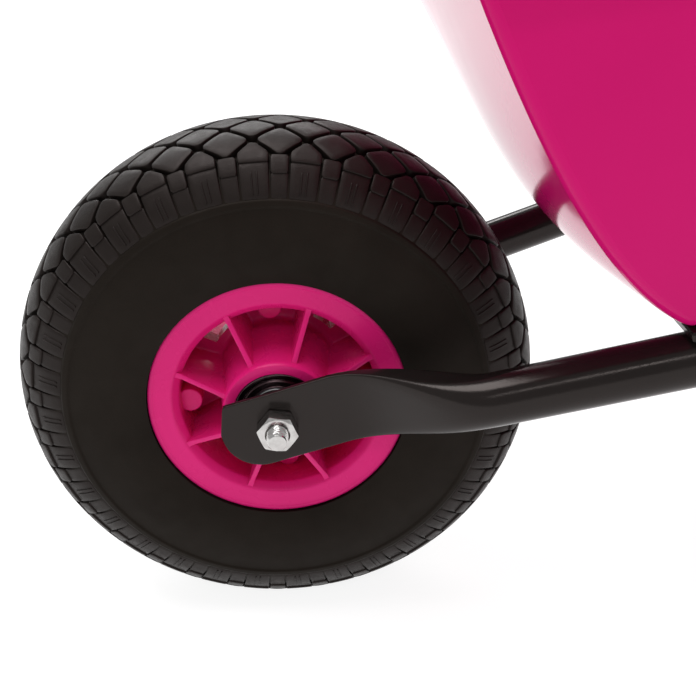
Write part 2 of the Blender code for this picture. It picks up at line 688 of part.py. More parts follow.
def make_frame_tube(side, label, parent):
    """Frame tube from its flattened front end to its handle, open at the back."""
    nose = [PLATE_FRONT + PLATE_NOSE * (1 - math.cos(math.pi / 2 * k / 5)) for k in range(6)]
    swell = [PLATE_END + (ROUND_START - PLATE_END) * k / 8 for k in range(9)]
    bend = [BEND_START + BEND_LENGTH * k / 5 for k in range(6)]
    stations = nose + swell + bend + [HANDLE_END]
    bore = [BEND_START + BEND_LENGTH * k / 5 for k in range(5, -1, -1)] + [ROUND_START]
    rings = [tube_ring(along, side, TUBE_RADIUS) for along in stations]
    rings += [tube_ring(along, side, TUBE_RADIUS - TUBE_THICKNESS) for along in [HANDLE_END] + bore]
    tube = new_piece(f"frame_tube_{label}", loft(f"frame_tube_{label}", rings), "black_paint", parent)
    holes = bmesh.new()
    add_rod(holes, AXLE_RADIUS + SHANK_CLEARANCE, (AXLE_ALONG, side * (PLATE_INNER - CUT), AXLE_UP),
            (AXLE_ALONG, side * (PLATE_OUTER + CUT), AXLE_UP))
    for along, radius in ((LEG_POSITION, LEG_BOLT_RADIUS), (BRACE_POSITION, BRACE_BOLT_RADIUS)):
        centre = tube_centre(along, side)
        reach = side_normal(side) * (TUBE_RADIUS + CUT)
        add_rod(holes, radius + SHANK_CLEARANCE, centre - reach, centre + reach, 16)
    add_boolean(tube, holes, "DIFFERENCE")


def side_normal(side):
    """Level direction that points out square to a frame tube, in the frame's axes."""
    level = Vector((-math.sin(HEADING), side * math.cos(HEADING), 0))
    return Matrix.Rotation(SLOPE, 3, "Y") @ level


def make_grip(side, label, parent):
    """Ribbed grip pushed over the end of a handle."""
    end, before = tube_centre(HANDLE_END, side), tube_centre(HANDLE_END - 0.01, side)
    way = (end - before).normalized()
    bore = TUBE_RADIUS + GAP
    outer = bore + GRIP_WALL
    top = GRIP_END_THICKNESS
    low = top - GRIP_LENGTH
    profile = [(0, top), (outer - GRIP_ROUNDING, top), (outer, top - GRIP_ROUNDING)]
    pitch = (GRIP_LENGTH - 3 * GRIP_PLAIN) / GRIP_RIBS
    for k in range(GRIP_RIBS):
        start = top - GRIP_PLAIN - pitch * k
        profile += [(outer, start), (outer - GRIP_RIB_DEPTH, start - pitch / 3),
                    (outer, start - pitch * 2 / 3)]
    profile += [(outer, low + GRIP_PLAIN), (outer + GRIP_COLLAR, low + GRIP_COLLAR_LENGTH),
                (outer + GRIP_COLLAR, low), (bore, low), (bore, GAP), (0, GAP)]
    turned(f"grip_{label}", profile, "black_rubber", parent, None, SMALL_STEPS, True, end, aim(way))


def make_rail(name, along, parent):
    """Flat rail welded across the tops of both tubes, with a hole near each end for a tray bolt."""
    half = tube_centre(along, RIGHT).y + RAIL_OVERHANG
    bm = bmesh.new()
    bmesh.ops.create_cube(bm, size=1.0, matrix=Matrix.Diagonal((RAIL_WIDTH, 2 * half, RAIL_THICKNESS, 1)))
    place = (along, 0, TUBE_RADIUS + GAP + RAIL_THICKNESS / 2)
    rail = new_piece(name, mesh_from(name, bm), "black_paint", parent, place)
    bevel = rail.modifiers.new("edges", "BEVEL")
    bevel.width = RAIL_EDGE
    bevel.segments = 1
    holes = bmesh.new()
    for side, _ in SIDES:
        add_rod(holes, TRAY_BOLT_RADIUS + SHANK_CLEARANCE, (0, side * TRAY_BOLT_SPREAD, -RAIL_THICKNESS),
                (0, side * TRAY_BOLT_SPREAD, RAIL_THICKNESS), 16)
    add_boolean(rail, holes, "DIFFERENCE")


# ---------------------------------------------------------------- tray

def tray_half_width(along, up):
    """Half the tray's outer width at a place on its flat, flared side wall."""
    return (TRAY_FLOOR_HALF + (up - TRAY_FLOOR) * math.tan(TRAY_FLARE)
            + (along - TRAY_TOE) * math.tan(TRAY_TAPER))


def curve_points(start, control, end, count):
    """Points (x, z) on the curve that leaves the start for the control and comes from it to the end."""
    points = []
    for k in range(count):
        t = k / (count - 1)
        points.append(tuple((1 - t) ** 2 * a + 2 * t * (1 - t) * b + t * t * c
                            for a, b, c in zip(start, control, end)))
    return points


def tray_profile():
    """Outer profile (along, up, crown) from the front rim under the floor to the back rim."""
    count = 9
    front = curve_points((TRAY_FRONT, TRAY_FRONT_HEIGHT), TRAY_KNEE, (TRAY_TOE, TRAY_FLOOR), count)
    stations = []
    for k, (along, up) in enumerate(front):
        t = k / (count - 1)
        stations.append((along, up, TRAY_CROWN * 6.75 * t * t * (1 - t)))
    stations.append(((TRAY_TOE + TRAY_FLOOR_END) / 2, TRAY_FLOOR, 0.0))
    slope = (TRAY_BACK_HEIGHT - TRAY_FLOOR) / (TRAY_BACK - TRAY_FLOOR_END)
    heel = curve_points((TRAY_FLOOR_END - TRAY_HEEL, TRAY_FLOOR), (TRAY_FLOOR_END, TRAY_FLOOR),
                        (TRAY_FLOOR_END + TRAY_HEEL * TRAY_HEEL_RISE,
                         TRAY_FLOOR + TRAY_HEEL * TRAY_HEEL_RISE * slope), 5)
    stations += [(along, up, 0.0) for along, up in heel]
    stations.append((TRAY_BACK, TRAY_BACK_HEIGHT, 0.0))
    return stations


def make_tray(parent):
    """Moulded tray: curved front, floor and back in one strip, flat flared sides, and a turned-down lip."""
    across = (-1.0, -0.5, 0.0, 0.5, 1.0)
    stations = tray_profile()
    bm = bmesh.new()
    rows = []
    for k, (along, up, crown) in enumerate(stations):
        before, after = stations[max(k - 1, 0)], stations[min(k + 1, len(stations) - 1)]
        run, rise = after[0] - before[0], after[1] - before[1]
        size = math.hypot(run, rise)
        half = tray_half_width(along, up)
        row = []
        for v in across:
            push = crown * (1 - v * v)
            row.append(bm.verts.new((along + push * rise / size, v * half, up - push * run / size)))
        rows.append(row)
    for one, other in zip(rows, rows[1:]):
        for i in range(len(across) - 1):
            face = bm.faces.new((one[i], other[i], other[i + 1], one[i + 1]))
            if one[i].co.z == other[i].co.z:
                floor = face
    for end in (0, -1):
        bm.faces.new([row[end] for row in rows])

    rim = rows[0] + [rows[-1][-1]] + rows[-1][-2::-1]
    outside, lip = [], []
    for vert in rim:
        out_x = -TRAY_LIP if vert in rows[0] else TRAY_LIP
        out_y = 0.0
        if abs(vert.co.y) >= tray_half_width(vert.co.x, vert.co.z) - 0.00001:
            out_y = math.copysign(TRAY_LIP, vert.co.y)
        edge = vert.co + Vector((out_x, out_y, 0))
        outside.append(bm.verts.new(edge))
        lip.append(bm.verts.new(edge - Vector((0, 0, TRAY_LIP_DROP))))
    count = len(rim)
    for i in range(count):
        j = (i + 1) % count
        bm.faces.new((rim[i], rim[j], outside[j], outside[i]))
        bm.faces.new((outside[i], outside[j], lip[j], lip[i]))
    tray = new_piece("tray", mesh_from("tray", bm, floor), "pink_tray", parent)

    bevel = tray.modifiers.new("corners", "BEVEL")
    bevel.width = TRAY_EDGE_RADIUS
    bevel.segments = 2
    bevel.limit_method = "ANGLE"
    bevel.angle_limit = math.radians(40)
    wall = tray.modifiers.new("wall", "SOLIDIFY")
    wall.thickness = TRAY_WALL
    wall.offset = -1.0
    wall.use_even_offset = True
    holes = bmesh.new()
    for along in (FRONT_RAIL, REAR_RAIL):
        for side, _ in SIDES:
            spot = Vector((along, side * TRAY_BOLT_SPREAD, TRAY_FLOOR))
            add_rod(holes, TRAY_BOLT_RADIUS + SHANK_CLEARANCE, spot - Vector((0, 0, CUT)),
                    spot + Vector((0, 0, TRAY_WALL + CUT)), 16)
    add_boolean(tray, holes, "DIFFERENCE")


def make_tray_bolts(parent):
    """Round-headed bolts down through the tray's floor and the rails, with nuts below."""
    floor = TRAY_FLOOR + TRAY_WALL + GAP
    under = TUBE_RADIUS
    tip = under - TRAY_BOLT_RADIUS * NUT_RATIO - BOLT_SPARE
    profile = [(0, TRAY_BOLT_DOME), (TRAY_BOLT_HEAD * 0.5, TRAY_BOLT_DOME * 0.86),
               (TRAY_BOLT_HEAD * 0.86, TRAY_BOLT_DOME * 0.5), (TRAY_BOLT_HEAD, 0), (TRAY_BOLT_RADIUS, 0),
               (TRAY_BOLT_RADIUS, tip - floor), (0, tip - floor)]
    number = 0
    for along in (FRONT_RAIL, REAR_RAIL):
        for side, _ in SIDES:
            number += 1
            spot = (along, side * TRAY_BOLT_SPREAD, floor)
            turned(f"tray_bolt_{number}", profile, "zinc", parent, None, 16, True, spot)
            below = (along, side * TRAY_BOLT_SPREAD, under)
            hex_nut(f"tray_nut_{number}", TRAY_BOLT_RADIUS, parent, below, (0, 0, -1))


# ---------------------------------------------------------------- legs

def frame_point_to_world(point):
    """World place of a point in the frame's axes."""
    return Matrix.Translation((AXLE_X, 0, AXLE_HEIGHT - TUBE_DROP)) @ Matrix.Rotation(-SLOPE, 4, "Y") @ point


def leg_axis(side):
    """World point where a leg's middle line meets the ground."""
    start = frame_point_to_world(tube_centre(LEG_POSITION, side))
    out = Vector((-math.sin(HEADING), side * math.cos(HEADING), 0)) * LEG_MIDDLE
    return Vector((start.x + out.x, start.y + out.y, 0))


def make_leg(side, label):
    """Leg, foot, brace and their bolts, on a datum at the point where the leg meets its frame tube."""
    start = frame_point_to_world(tube_centre(LEG_POSITION, side))
    datum = new_empty(f"leg_datum_{label}", None, start, (0, 0, side * HEADING))
    middle = side * LEG_MIDDLE
    foot_floor = FOOT_BASE + GAP - start.z

    def ring(height, radius, narrow=1.0):
        half = LEG_TAB_HEIGHT / 2 * narrow
        roundness = smooth_step(LEG_TAB_BOTTOM, LEG_ROUND_START, height)
        section = tube_section(roundness, -half, half, LEG_TAB_THICKNESS / 2, radius)
        return [Vector((long_way, middle + thin_way, height)) for long_way, thin_way in section]

    swell = [LEG_TAB_BOTTOM + (LEG_ROUND_START - LEG_TAB_BOTTOM) * k / 6 for k in range(7)]
    rings = [ring(LEG_TAB_TOP - depth, LEG_RADIUS, width) for depth, width in LEG_TAB_CORNERS]
    rings += [ring(height, LEG_RADIUS) for height in swell + [foot_floor]]
    bore = LEG_RADIUS - LEG_THICKNESS
    rings += [ring(foot_floor, bore), ring(LEG_ROUND_START, bore)]
    leg = new_piece(f"leg_{label}", loft(f"leg_{label}", rings), "black_paint", datum)
    hole = bmesh.new()
    reach = LEG_TAB_THICKNESS / 2 + CUT
    add_rod(hole, LEG_BOLT_RADIUS + SHANK_CLEARANCE, (0, middle - reach, 0), (0, middle + reach, 0), 16)
    add_boolean(leg, hole, "DIFFERENCE")

    inner, outer = LEG_RADIUS + GAP, LEG_RADIUS + GAP + FOOT_WALL
    profile = [(0, FOOT_BASE), (inner, FOOT_BASE), (inner, FOOT_HEIGHT), (outer, FOOT_HEIGHT),
               (outer + FOOT_SPREAD, FOOT_CHAMFER), (outer + FOOT_SPREAD - FOOT_CHAMFER, 0), (0, 0)]
    turned(f"foot_{label}", profile, "black_rubber", datum, None, SMALL_STEPS, True,
           (0, middle, -start.z))

    make_brace(side, label, datum, start)
    head = side * (TUBE_RADIUS + GAP + LEG_TAB_THICKNESS + GAP)
    inside = -side * (TUBE_RADIUS + GAP)
    length = abs(head - inside) + LEG_BOLT_RADIUS * NUT_RATIO + BOLT_SPARE
    hex_bolt(f"leg_bolt_{label}", LEG_BOLT_RADIUS, length, datum, (0, head, 0), (0, side, 0))
    hex_nut(f"leg_nut_{label}", LEG_BOLT_RADIUS, datum, (0, inside, 0), (0, -side, 0))


def make_brace(side, label, datum, start):
    """Flat strip from the frame tube down to the outside of the leg, and the bolt at its upper end."""
    upper = frame_point_to_world(tube_centre(BRACE_POSITION, side)) - start
    top = Vector((-math.hypot(upper.x, upper.y), 0, upper.z))
    bottom = Vector((0, 0, BRACE_FOOT - start.z))
    way = (bottom - top).normalized()
    square = Vector((way.z, 0, -way.x))
    near = TUBE_RADIUS + GAP + BRACE_THICKNESS / 2
    far = LEG_MIDDLE + LEG_RADIUS + GAP + BRACE_THICKNESS / 2
    length = (bottom - top).length
    rings = []
    start_out, end_out = (share * length for share in BRACE_JOGGLE)
    places = [start_out + (end_out - start_out) * k / 5 for k in range(6)]
    for place in [-BRACE_OVERLAP] + places + [length + BRACE_OVERLAP]:
        across = near + (far - near) * smooth_step(start_out, end_out, place)
        centre = top + way * place + Vector((0, side * across, 0))
        ring = []
        for wide, thick in ((-1, -1), (1, -1), (1, 1), (-1, 1)):
            ring.append(centre + square * wide * BRACE_WIDTH / 2
                        + Vector((0, thick * BRACE_THICKNESS / 2, 0)))
        rings.append(ring)
    brace = new_piece(f"brace_{label}", loft(f"brace_{label}", rings), "black_paint", datum)
    hole = bmesh.new()
    reach = BRACE_THICKNESS / 2 + CUT
    add_rod(hole, BRACE_BOLT_RADIUS + SHANK_CLEARANCE, top + Vector((0, side * near - reach, 0)),
            top + Vector((0, side * near + reach, 0)), 16)
    add_boolean(brace, hole, "DIFFERENCE")
    head = side * (TUBE_RADIUS + GAP + BRACE_THICKNESS + GAP)
    inside = -side * (TUBE_RADIUS + GAP)
    bolt = abs(head - inside) + BRACE_BOLT_RADIUS * NUT_RATIO + BOLT_SPARE
    hex_bolt(f"brace_bolt_{label}", BRACE_BOLT_RADIUS, bolt, datum, top + Vector((0, head, 0)),
             (0, side, 0))
    hex_nut(f"brace_nut_{label}", BRACE_BOLT_RADIUS, datum, top + Vector((0, inside, 0)), (0, -side, 0))


def make_leg_tie():
    """Round tie welded between the legs."""
    spot = leg_axis(RIGHT)
    half = spot.y - LEG_RADIUS - GAP
    bm = bmesh.new()
    add_rod(bm, TIE_RADIUS, (0, -half, 0), (0, half, 0))
    new_piece("leg_tie", mesh_from("leg_tie", bm), "black_paint", None, (spot.x, 0, TIE_HEIGHT))


def overall_reach():
    """How far back the grips reach from the axle."""
    end = tube_centre(HANDLE_END, RIGHT)
    flat = SLOPE - HANDLE_DIP
    return (end.x * math.cos(SLOPE) - end.z * math.sin(SLOPE)
            + GRIP_END_THICKNESS * math.cos(flat) + (TUBE_RADIUS + GRIP_WALL) * math.sin(flat))


clear_scene()
PARTS = new_collection("wheelbarrow")
CUTTERS = new_collection("cutters")
MATERIALS = {name: new_material(name, *values) for name, values in FINISHES.items()}
AXLE_X = (TYRE_RADIUS - overall_reach()) / 2

axle_datum = new_empty("axle_datum", None, (AXLE_X, 0, AXLE_HEIGHT))
wheel_axis = new_empty("wheel_axis", None, (AXLE_X, 0, AXLE_HEIGHT))
frame_datum = new_empty("frame_datum", None, (AXLE_X, 0, AXLE_HEIGHT - TUBE_DROP), (0, -SLOPE, 0))

make_tyre(wheel_axis)
make_inner_tube(wheel_axis)
for hand, word in SIDES:
    make_rim_half(hand, word, wheel_axis)
    make_bearing(hand, word, wheel_axis, axle_datum)
make_rim_screws(wheel_axis)
make_axle(axle_datum)

for hand, word in SIDES:
    make_frame_tube(hand, word, frame_datum)
    make_grip(hand, word, frame_datum)
make_rail("cross_rail_front", FRONT_RAIL, frame_datum)
make_rail("cross_rail_rear", REAR_RAIL, frame_datum)
make_tray(frame_datum)
make_tray_bolts(frame_datum)
for hand, word in SIDES:
    make_leg(hand, word)
make_leg_tie()
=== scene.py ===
"""Looks of a small single-wheel barrow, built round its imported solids.

+X runs back along the barrow to the grips, +Y to its right side and +Z up, with the ground at z = 0.
Lengths are in metres and angles in radians.  Each sub-assembly is a class: its fields are sizes, and its
methods work out surfaces with numpy and dress them.
"""
import logging
import math
from dataclasses import dataclass
from enum import Enum
from typing import Iterable, Sequence

import bmesh
import bpy
import numpy as np
from mathutils import Matrix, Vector
from numpy.typing import NDArray


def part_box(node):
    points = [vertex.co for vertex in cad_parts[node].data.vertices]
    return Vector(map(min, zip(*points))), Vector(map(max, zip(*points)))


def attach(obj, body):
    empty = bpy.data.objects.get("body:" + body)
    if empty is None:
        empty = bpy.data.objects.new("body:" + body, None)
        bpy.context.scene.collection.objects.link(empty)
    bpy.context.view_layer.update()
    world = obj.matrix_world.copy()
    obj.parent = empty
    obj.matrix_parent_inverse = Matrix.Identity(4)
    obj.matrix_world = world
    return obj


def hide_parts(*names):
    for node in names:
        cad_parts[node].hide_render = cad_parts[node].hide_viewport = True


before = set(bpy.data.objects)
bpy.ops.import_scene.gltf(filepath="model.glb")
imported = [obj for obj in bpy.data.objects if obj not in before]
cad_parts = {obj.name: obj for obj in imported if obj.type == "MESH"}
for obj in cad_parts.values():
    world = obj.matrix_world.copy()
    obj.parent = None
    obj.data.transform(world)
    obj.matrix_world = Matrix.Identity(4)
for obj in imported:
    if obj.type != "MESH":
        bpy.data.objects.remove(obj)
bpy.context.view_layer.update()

Array = NDArray[np.float64]
Indices = NDArray[np.int64]
TAU = 2 * math.pi
MERGE = 1e-6
MM = 0.001
log = logging.getLogger("wheelbarrow")


class Side(Enum):
    """The two sides of the barrow, as seen from behind it."""

    LEFT = -1
    RIGHT = 1

    @property
    def word(self) -> str:
        """The side's name as it stands in the names of nodes."""
        return self.name.lower()


class Body(str, Enum):
    """The two rigid bodies of the barrow."""

    FRAME = "frame"
    WHEEL = "wheel"


# ---------------------------------------------------------------- shapes


@dataclass(frozen=True)
class Axes:
    """A place with three directions, in which a piece is worked out."""

    origin: tuple[float, float, float]
    x: tuple[float, float, float] = (1.0, 0.0, 0.0)
    y: tuple[float, float, float] = (0.0, 1.0, 0.0)
    z: tuple[float, float, float] = (0.0, 0.0, 1.0)

    def at(self, points: Array) -> Array:
        """Give the world places of points in these axes."""
        return np.asarray(self.origin) + np.asarray(points) @ np.array([self.x, self.y, self.z])

    def moved(self, points: Sequence[float]) -> "Axes":
        """Give the same directions at another origin, stated in these axes."""
        return Axes(tuple(self.at(np.asarray(points, float))), self.x, self.y, self.z)

    @staticmethod
    def along(origin: Sequence[float], way: Sequence[float], turn: float = 0.0) -> "Axes":
        """Make axes whose z points along a way.

        Args:
            origin: world place of the axes.
            way: direction of z.
            turn: angle of x about z, from the level direction square to z.
        """
        z = np.asarray(way, float) / np.linalg.norm(way)
        hint = np.array([1.0, 0.0, 0.0]) if abs(z[0]) < 0.9 else np.array([0.0, 0.0, 1.0])
        x = np.cross(np.cross(z, hint), z)
        x /= np.linalg.norm(x)
        y = np.cross(z, x)
        turned = math.cos(turn) * x + math.sin(turn) * y
        return Axes(tuple(np.asarray(origin, float)), tuple(turned), tuple(np.cross(z, turned)), tuple(z))


class Shell:
    """Collects grids of points and joins them into the mesh of one piece."""

    def __init__(self) -> None:
        """Start with no points."""
        self._points: list[Array] = []
        self._quads: list[Indices] = []
        self._count = 0

    def add(self, points: Array, wrap_rows: bool = False, wrap_columns: bool = True,
            keep: NDArray[np.bool_] | None = None) -> Indices:
        """Add one grid of points, or a stack of grids alike, with a face in each cell.

        Args:
            points: array of (..., rows, columns, 3).
            wrap_rows: whether the last row joins the first.
            wrap_columns: whether the last column joins the first.
            keep: which cells get a face; all of them without it.

        Returns:
            The index of each point, as an array of (..., rows, columns).
        """
        shape = points.shape[:-1]
        index = self._count + np.arange(math.prod(shape)).reshape(shape)
        self._points.append(points.reshape(-1, 3))
        self._count += index.size
        below = np.roll(index, -1, axis=-2)
        quads = np.stack((index, np.roll(index, -1, axis=-1), np.roll(below, -1, axis=-1), below), axis=-1)
        if not wrap_rows:
            quads = quads[..., :-1, :, :]
        if not wrap_columns:
            quads = quads[..., :-1, :]
        if keep is not None:
            quads = quads[keep]
        self._quads.append(quads.reshape(-1, 4))
        return index

    def bridge(self, one: Indices, other: Indices) -> None:
        """Join two lines of points with a strip of faces."""
        self._quads.append(np.stack((one[:-1], one[1:], other[1:], other[:-1]), axis=-1))

    def mesh(self, name: str) -> bpy.types.Mesh:
        """Make the mesh, with seams and poles closed and faces outwards.

        Args:
            name: name of the mesh.

        Returns:
            The mesh data.
        """
        points, quads = np.concatenate(self._points), np.concatenate(self._quads)
        mesh = bpy.data.meshes.new(name)
        mesh.vertices.add(len(points))
        mesh.vertices.foreach_set("co", points.astype(np.float32).ravel())
        mesh.loops.add(quads.size)
        mesh.loops.foreach_set("vertex_index", quads.astype(np.int32).ravel())
        mesh.polygons.add(len(quads))
        mesh.polygons.foreach_set("loop_start", np.arange(0, quads.size, 4, dtype=np.int32))
        mesh.update(calc_edges=True)
        tidy(mesh)
        return mesh


def tidy(mesh: bpy.types.Mesh) -> None:
    """Close a mesh's seams and poles, drop faces without area and turn its faces outwards."""
    bm = bmesh.new()
    bm.from_mesh(mesh)
    bmesh.ops.remove_doubles(bm, verts=bm.verts[:], dist=MERGE)
    bmesh.ops.dissolve_degenerate(bm, edges=bm.edges[:], dist=MERGE / 10)
    bmesh.ops.recalc_face_normals(bm, faces=bm.faces[:])
    bm.to_mesh(mesh)
    bm.free()
    mesh.validate()


def polar(radius: Array, angle: Array, height: Array) -> Array:
    """Points (radius cos angle, radius sin angle, height), over grids of the three."""
    radius, angle, height = np.broadcast_arrays(radius, angle, height)
    return np.stack((radius * np.cos(angle), radius * np.sin(angle), height), axis=-1)


def rounded(corners: Sequence[tuple[float, float, float]], count: int = 5) -> Array:
    """Round the corners of a profile.

    A corner B with its two sides cut at A and C becomes (1-t)^2 A + 2t(1-t) B + t^2 C, for t from 0 to 1.

    Args:
        corners: (radius, height, how far from the corner the curve starts), in millimetres.
        count: points of each curve.

    Returns:
        Points (radius, height) in metres.
    """
    table = np.asarray(corners, float) * MM
    corner, size = table[:, :2], table[:, 2:]
    before, after = np.roll(corner, 1, axis=0) - corner, np.roll(corner, -1, axis=0) - corner
    start = corner + before / np.maximum(np.linalg.norm(before, axis=1, keepdims=True), MERGE) * size
    end = corner + after / np.maximum(np.linalg.norm(after, axis=1, keepdims=True), MERGE) * size
    t = np.linspace(0, 1, count)[None, :, None]
    curve = (1 - t) ** 2 * start[:, None] + 2 * t * (1 - t) * corner[:, None] + t ** 2 * end[:, None]
    return curve.reshape(-1, 2)


def around(steps: int) -> Array:
    """Evenly spaced angles of a full turn, as one row."""
    return np.linspace(0, TAU, steps, endpoint=False)[None, :]


def lathe(shell: Shell, profile: Array, axes: Axes, steps: int = 96, ring: bool = True) -> None:
    """Turn a profile of (radius, height) round the z of some axes.

    Args:
        shell: where the surface goes.
        profile: array of (points, 2).
        axes: the axes whose z is the centre line.
        steps: columns around.
        ring: whether the profile is a closed loop; if not, it runs from pole to pole.
    """
    shell.add(axes.at(polar(profile[:, :1], around(steps), profile[:, 1:])), wrap_rows=ring)


def smooth_step(start: float, end: float, value: Array) -> Array:
    """Rise as 3t^2 - 2t^3 from 0 at the start to 1 at the end."""
    t = np.clip((np.asarray(value, float) - start) / (end - start), 0.0, 1.0)
    return t * t * (3 - 2 * t)


def signed_power(value: Array, power: Array | float) -> Array:
    """Raise a size to a power and keep its sign."""
    return np.sign(value) * np.abs(value) ** power


def pressed_section(roundness: Array, low: Array, high: Array, half_thin: float, radius: float,
                    count: int) -> Array:
    """Sections of a tube from a pressed bar at roundness 0 to a circle at 1.

    Each is the curve |x/a|^p + |y/b|^p = 1, whose power p falls from 9 to 2 and whose half sizes a and b go
    from the bar's to the radius.

    Args:
        roundness: one value for each section.
        low: lower end of the bar, for each section.
        high: upper end of the bar, for each section.
        half_thin: half the bar's thickness.
        radius: radius of the round tube.
        count: points in each section.

    Returns:
        Array of (sections, count, 2): the long way and the thin way.
    """
    angle = around(count)
    share = np.asarray(roundness, float)[:, None]
    power = 2 / (9 - 7 * share)
    middle = ((low + high) / 2)[:, None]
    half_long = (1 - share) * ((high - low) / 2)[:, None] + share * radius
    half = (1 - share) * half_thin + share * radius
    return np.stack((middle + half_long * signed_power(np.sin(angle), power),
                     half * signed_power(np.cos(angle), power)), axis=-1)


def sweep(centres: Array, sections: Array, up: Sequence[float] = (0.0, 0.0, 1.0)) -> Array:
    """Carry sections along a line, each square to it, and close both ends.

    Args:
        centres: points of the line, (n, 3).
        sections: (n, m, 2), along the direction nearest to up and across it.
        up: direction that the first column of a section leans to.

    Returns:
        Array of (n + 2, m, 3), whose first and last rows are single points.
    """
    way = np.gradient(centres, axis=0)
    way /= np.linalg.norm(way, axis=1, keepdims=True)
    across = np.cross(np.asarray(up, float), way)
    across /= np.linalg.norm(across, axis=1, keepdims=True)
    upward = np.cross(way, across)
    rings = centres[:, None] + upward[:, None] * sections[..., :1] + across[:, None] * sections[..., 1:]
    ends = [np.repeat(rings[k].mean(axis=0)[None, None], rings.shape[1], axis=1) for k in (0, -1)]
    return np.concatenate((ends[0], rings, ends[1]))


def circle_sections(radius: Array) -> Array:
    """Round sections, one for each radius."""
    angle = around(36)
    return np.stack((radius[:, None] * np.sin(angle), radius[:, None] * np.cos(angle)), axis=-1)


# ---------------------------------------------------------------- finishes


class Nodes:
    """Adds nodes to a tree and links them."""

    def __init__(self, tree: bpy.types.NodeTree) -> None:
        """Work on one tree."""
        self.tree = tree

    def add(self, kind: str, sockets: dict[str | int, object] | None = None,
            **settings: object) -> bpy.types.Node:
        """Add a node.

        Args:
            kind: Blender's name for the node, without "ShaderNode".
            sockets: value for each input, or the output that feeds it.
            settings: properties of the node.

        Returns:
            The node.
        """
        node = self.tree.nodes.new(f"ShaderNode{kind}")
        for name, value in settings.items():
            setattr(node, name, value)
        for name, value in (sockets or {}).items():
            if isinstance(value, bpy.types.NodeSocket):
                self.tree.links.new(value, node.inputs[name])
            else:
                node.inputs[name].default_value = value
        return node

    def group(self, tree: bpy.types.NodeTree, sockets: dict[str, object]) -> bpy.types.Node:
        """Place a shared group, with its inputs set."""
        node = self.tree.nodes.new("ShaderNodeGroup")
        node.node_tree = tree
        for name, value in sockets.items():
            if isinstance(value, bpy.types.NodeSocket):
                self.tree.links.new(value, node.inputs[name])
            else:
                node.inputs[name].default_value = value
        return node


def new_group(name: str, inputs: Iterable[tuple[str, str, object]],
              outputs: Iterable[tuple[str, str]]) -> tuple[Nodes, bpy.types.Node, bpy.types.Node]:
    """Start a shader node group.

    Args:
        name: name of the group.
        inputs: (name, kind of socket, value) for each input.
        outputs: (name, kind of socket) for each output.

    Returns:
        The group's nodes, and its input and output nodes.
    """
    tree = bpy.data.node_groups.new(name, "ShaderNodeTree")
    for label, kind, value in inputs:
        socket = tree.interface.new_socket(label, in_out="INPUT", socket_type=kind)
        if value is not None:
            socket.default_value = value
    for label, kind in outputs:
        tree.interface.new_socket(label, in_out="OUTPUT", socket_type=kind)
    return Nodes(tree), tree.nodes.new("NodeGroupInput"), tree.nodes.new("NodeGroupOutput")


def make_mottle() -> bpy.types.NodeTree:
    """Build the group that gives slow and fine changes over a surface: two noises, one in the other."""
    nodes, source, result = new_group(
        "mottle", (("Vector", "NodeSocketVector", None), ("Scale", "NodeSocketFloat", 30.0),
                   ("Low", "NodeSocketFloat", 0.0), ("High", "NodeSocketFloat", 1.0)),
        (("Value", "NodeSocketFloat"),))
    slow = nodes.add("TexNoise", {"Vector": source.outputs["Vector"], "Scale": source.outputs["Scale"],
                                  "Detail": 5.0, "Roughness": 0.55, "Distortion": 0.4})
    spread = nodes.add("MapRange", {"Value": slow.outputs["Fac"], "From Min": 0.32, "From Max": 0.68,
                                    "To Min": source.outputs["Low"], "To Max": source.outputs["High"]})
    nodes.tree.links.new(spread.outputs["Result"], result.inputs["Value"])
    return nodes.tree


def make_grain() -> bpy.types.NodeTree:
    """Build the group that raises a fine grain: noise at one scale, and pits at three times that scale."""
    nodes, source, result = new_group(
        "grain", (("Vector", "NodeSocketVector", None), ("Scale", "NodeSocketFloat", 900.0),
                  ("Depth", "NodeSocketFloat", 0.0001)),
        (("Normal", "NodeSocketVector"),))
    noise = nodes.add("TexNoise", {"Vector": source.outputs["Vector"], "Scale": source.outputs["Scale"],
                                   "Detail": 3.0, "Roughness": 0.6})
    finer = nodes.add("Math", {0: source.outputs["Scale"], 1: 3.0}, operation="MULTIPLY")
    pits = nodes.add("TexVoronoi", {"Vector": source.outputs["Vector"], "Scale": finer.outputs[0]})
    share = nodes.add("Math", {0: pits.outputs["Distance"], 1: 0.35, 2: noise.outputs["Fac"]},
                      operation="MULTIPLY_ADD")
    bump = nodes.add("Bump", {"Strength": 1.0, "Distance": source.outputs["Depth"],
                              "Height": share.outputs[0]})
    nodes.tree.links.new(bump.outputs["Normal"], result.inputs["Normal"])
    return nodes.tree


def make_dust() -> bpy.types.NodeTree:
    """Build the group that gives a mask for dust: it settles low down and in patches."""
    nodes, source, result = new_group(
        "dust", (("Vector", "NodeSocketVector", None), ("Top", "NodeSocketFloat", 0.08),
                 ("Amount", "NodeSocketFloat", 0.3)),
        (("Mask", "NodeSocketFloat"),))
    split = nodes.add("SeparateXYZ", {0: source.outputs["Vector"]})
    low = nodes.add("MapRange", {"Value": split.outputs["Z"], "From Min": source.outputs["Top"],
                                 "From Max": 0.0, "To Min": 0.12, "To Max": 1.0})
    patches = nodes.add("TexNoise", {"Vector": source.outputs["Vector"], "Scale": 60.0, "Detail": 6.0})
    spots = nodes.add("MapRange", {"Value": patches.outputs["Fac"], "From Min": 0.45, "From Max": 0.75})
    both = nodes.add("Math", {0: low.outputs["Result"], 1: spots.outputs["Result"]}, operation="MULTIPLY")
    mask = nodes.add("Math", {0: both.outputs[0], 1: source.outputs["Amount"]}, operation="MULTIPLY",
                     use_clamp=True)
    nodes.tree.links.new(mask.outputs[0], result.inputs["Mask"])
    return nodes.tree


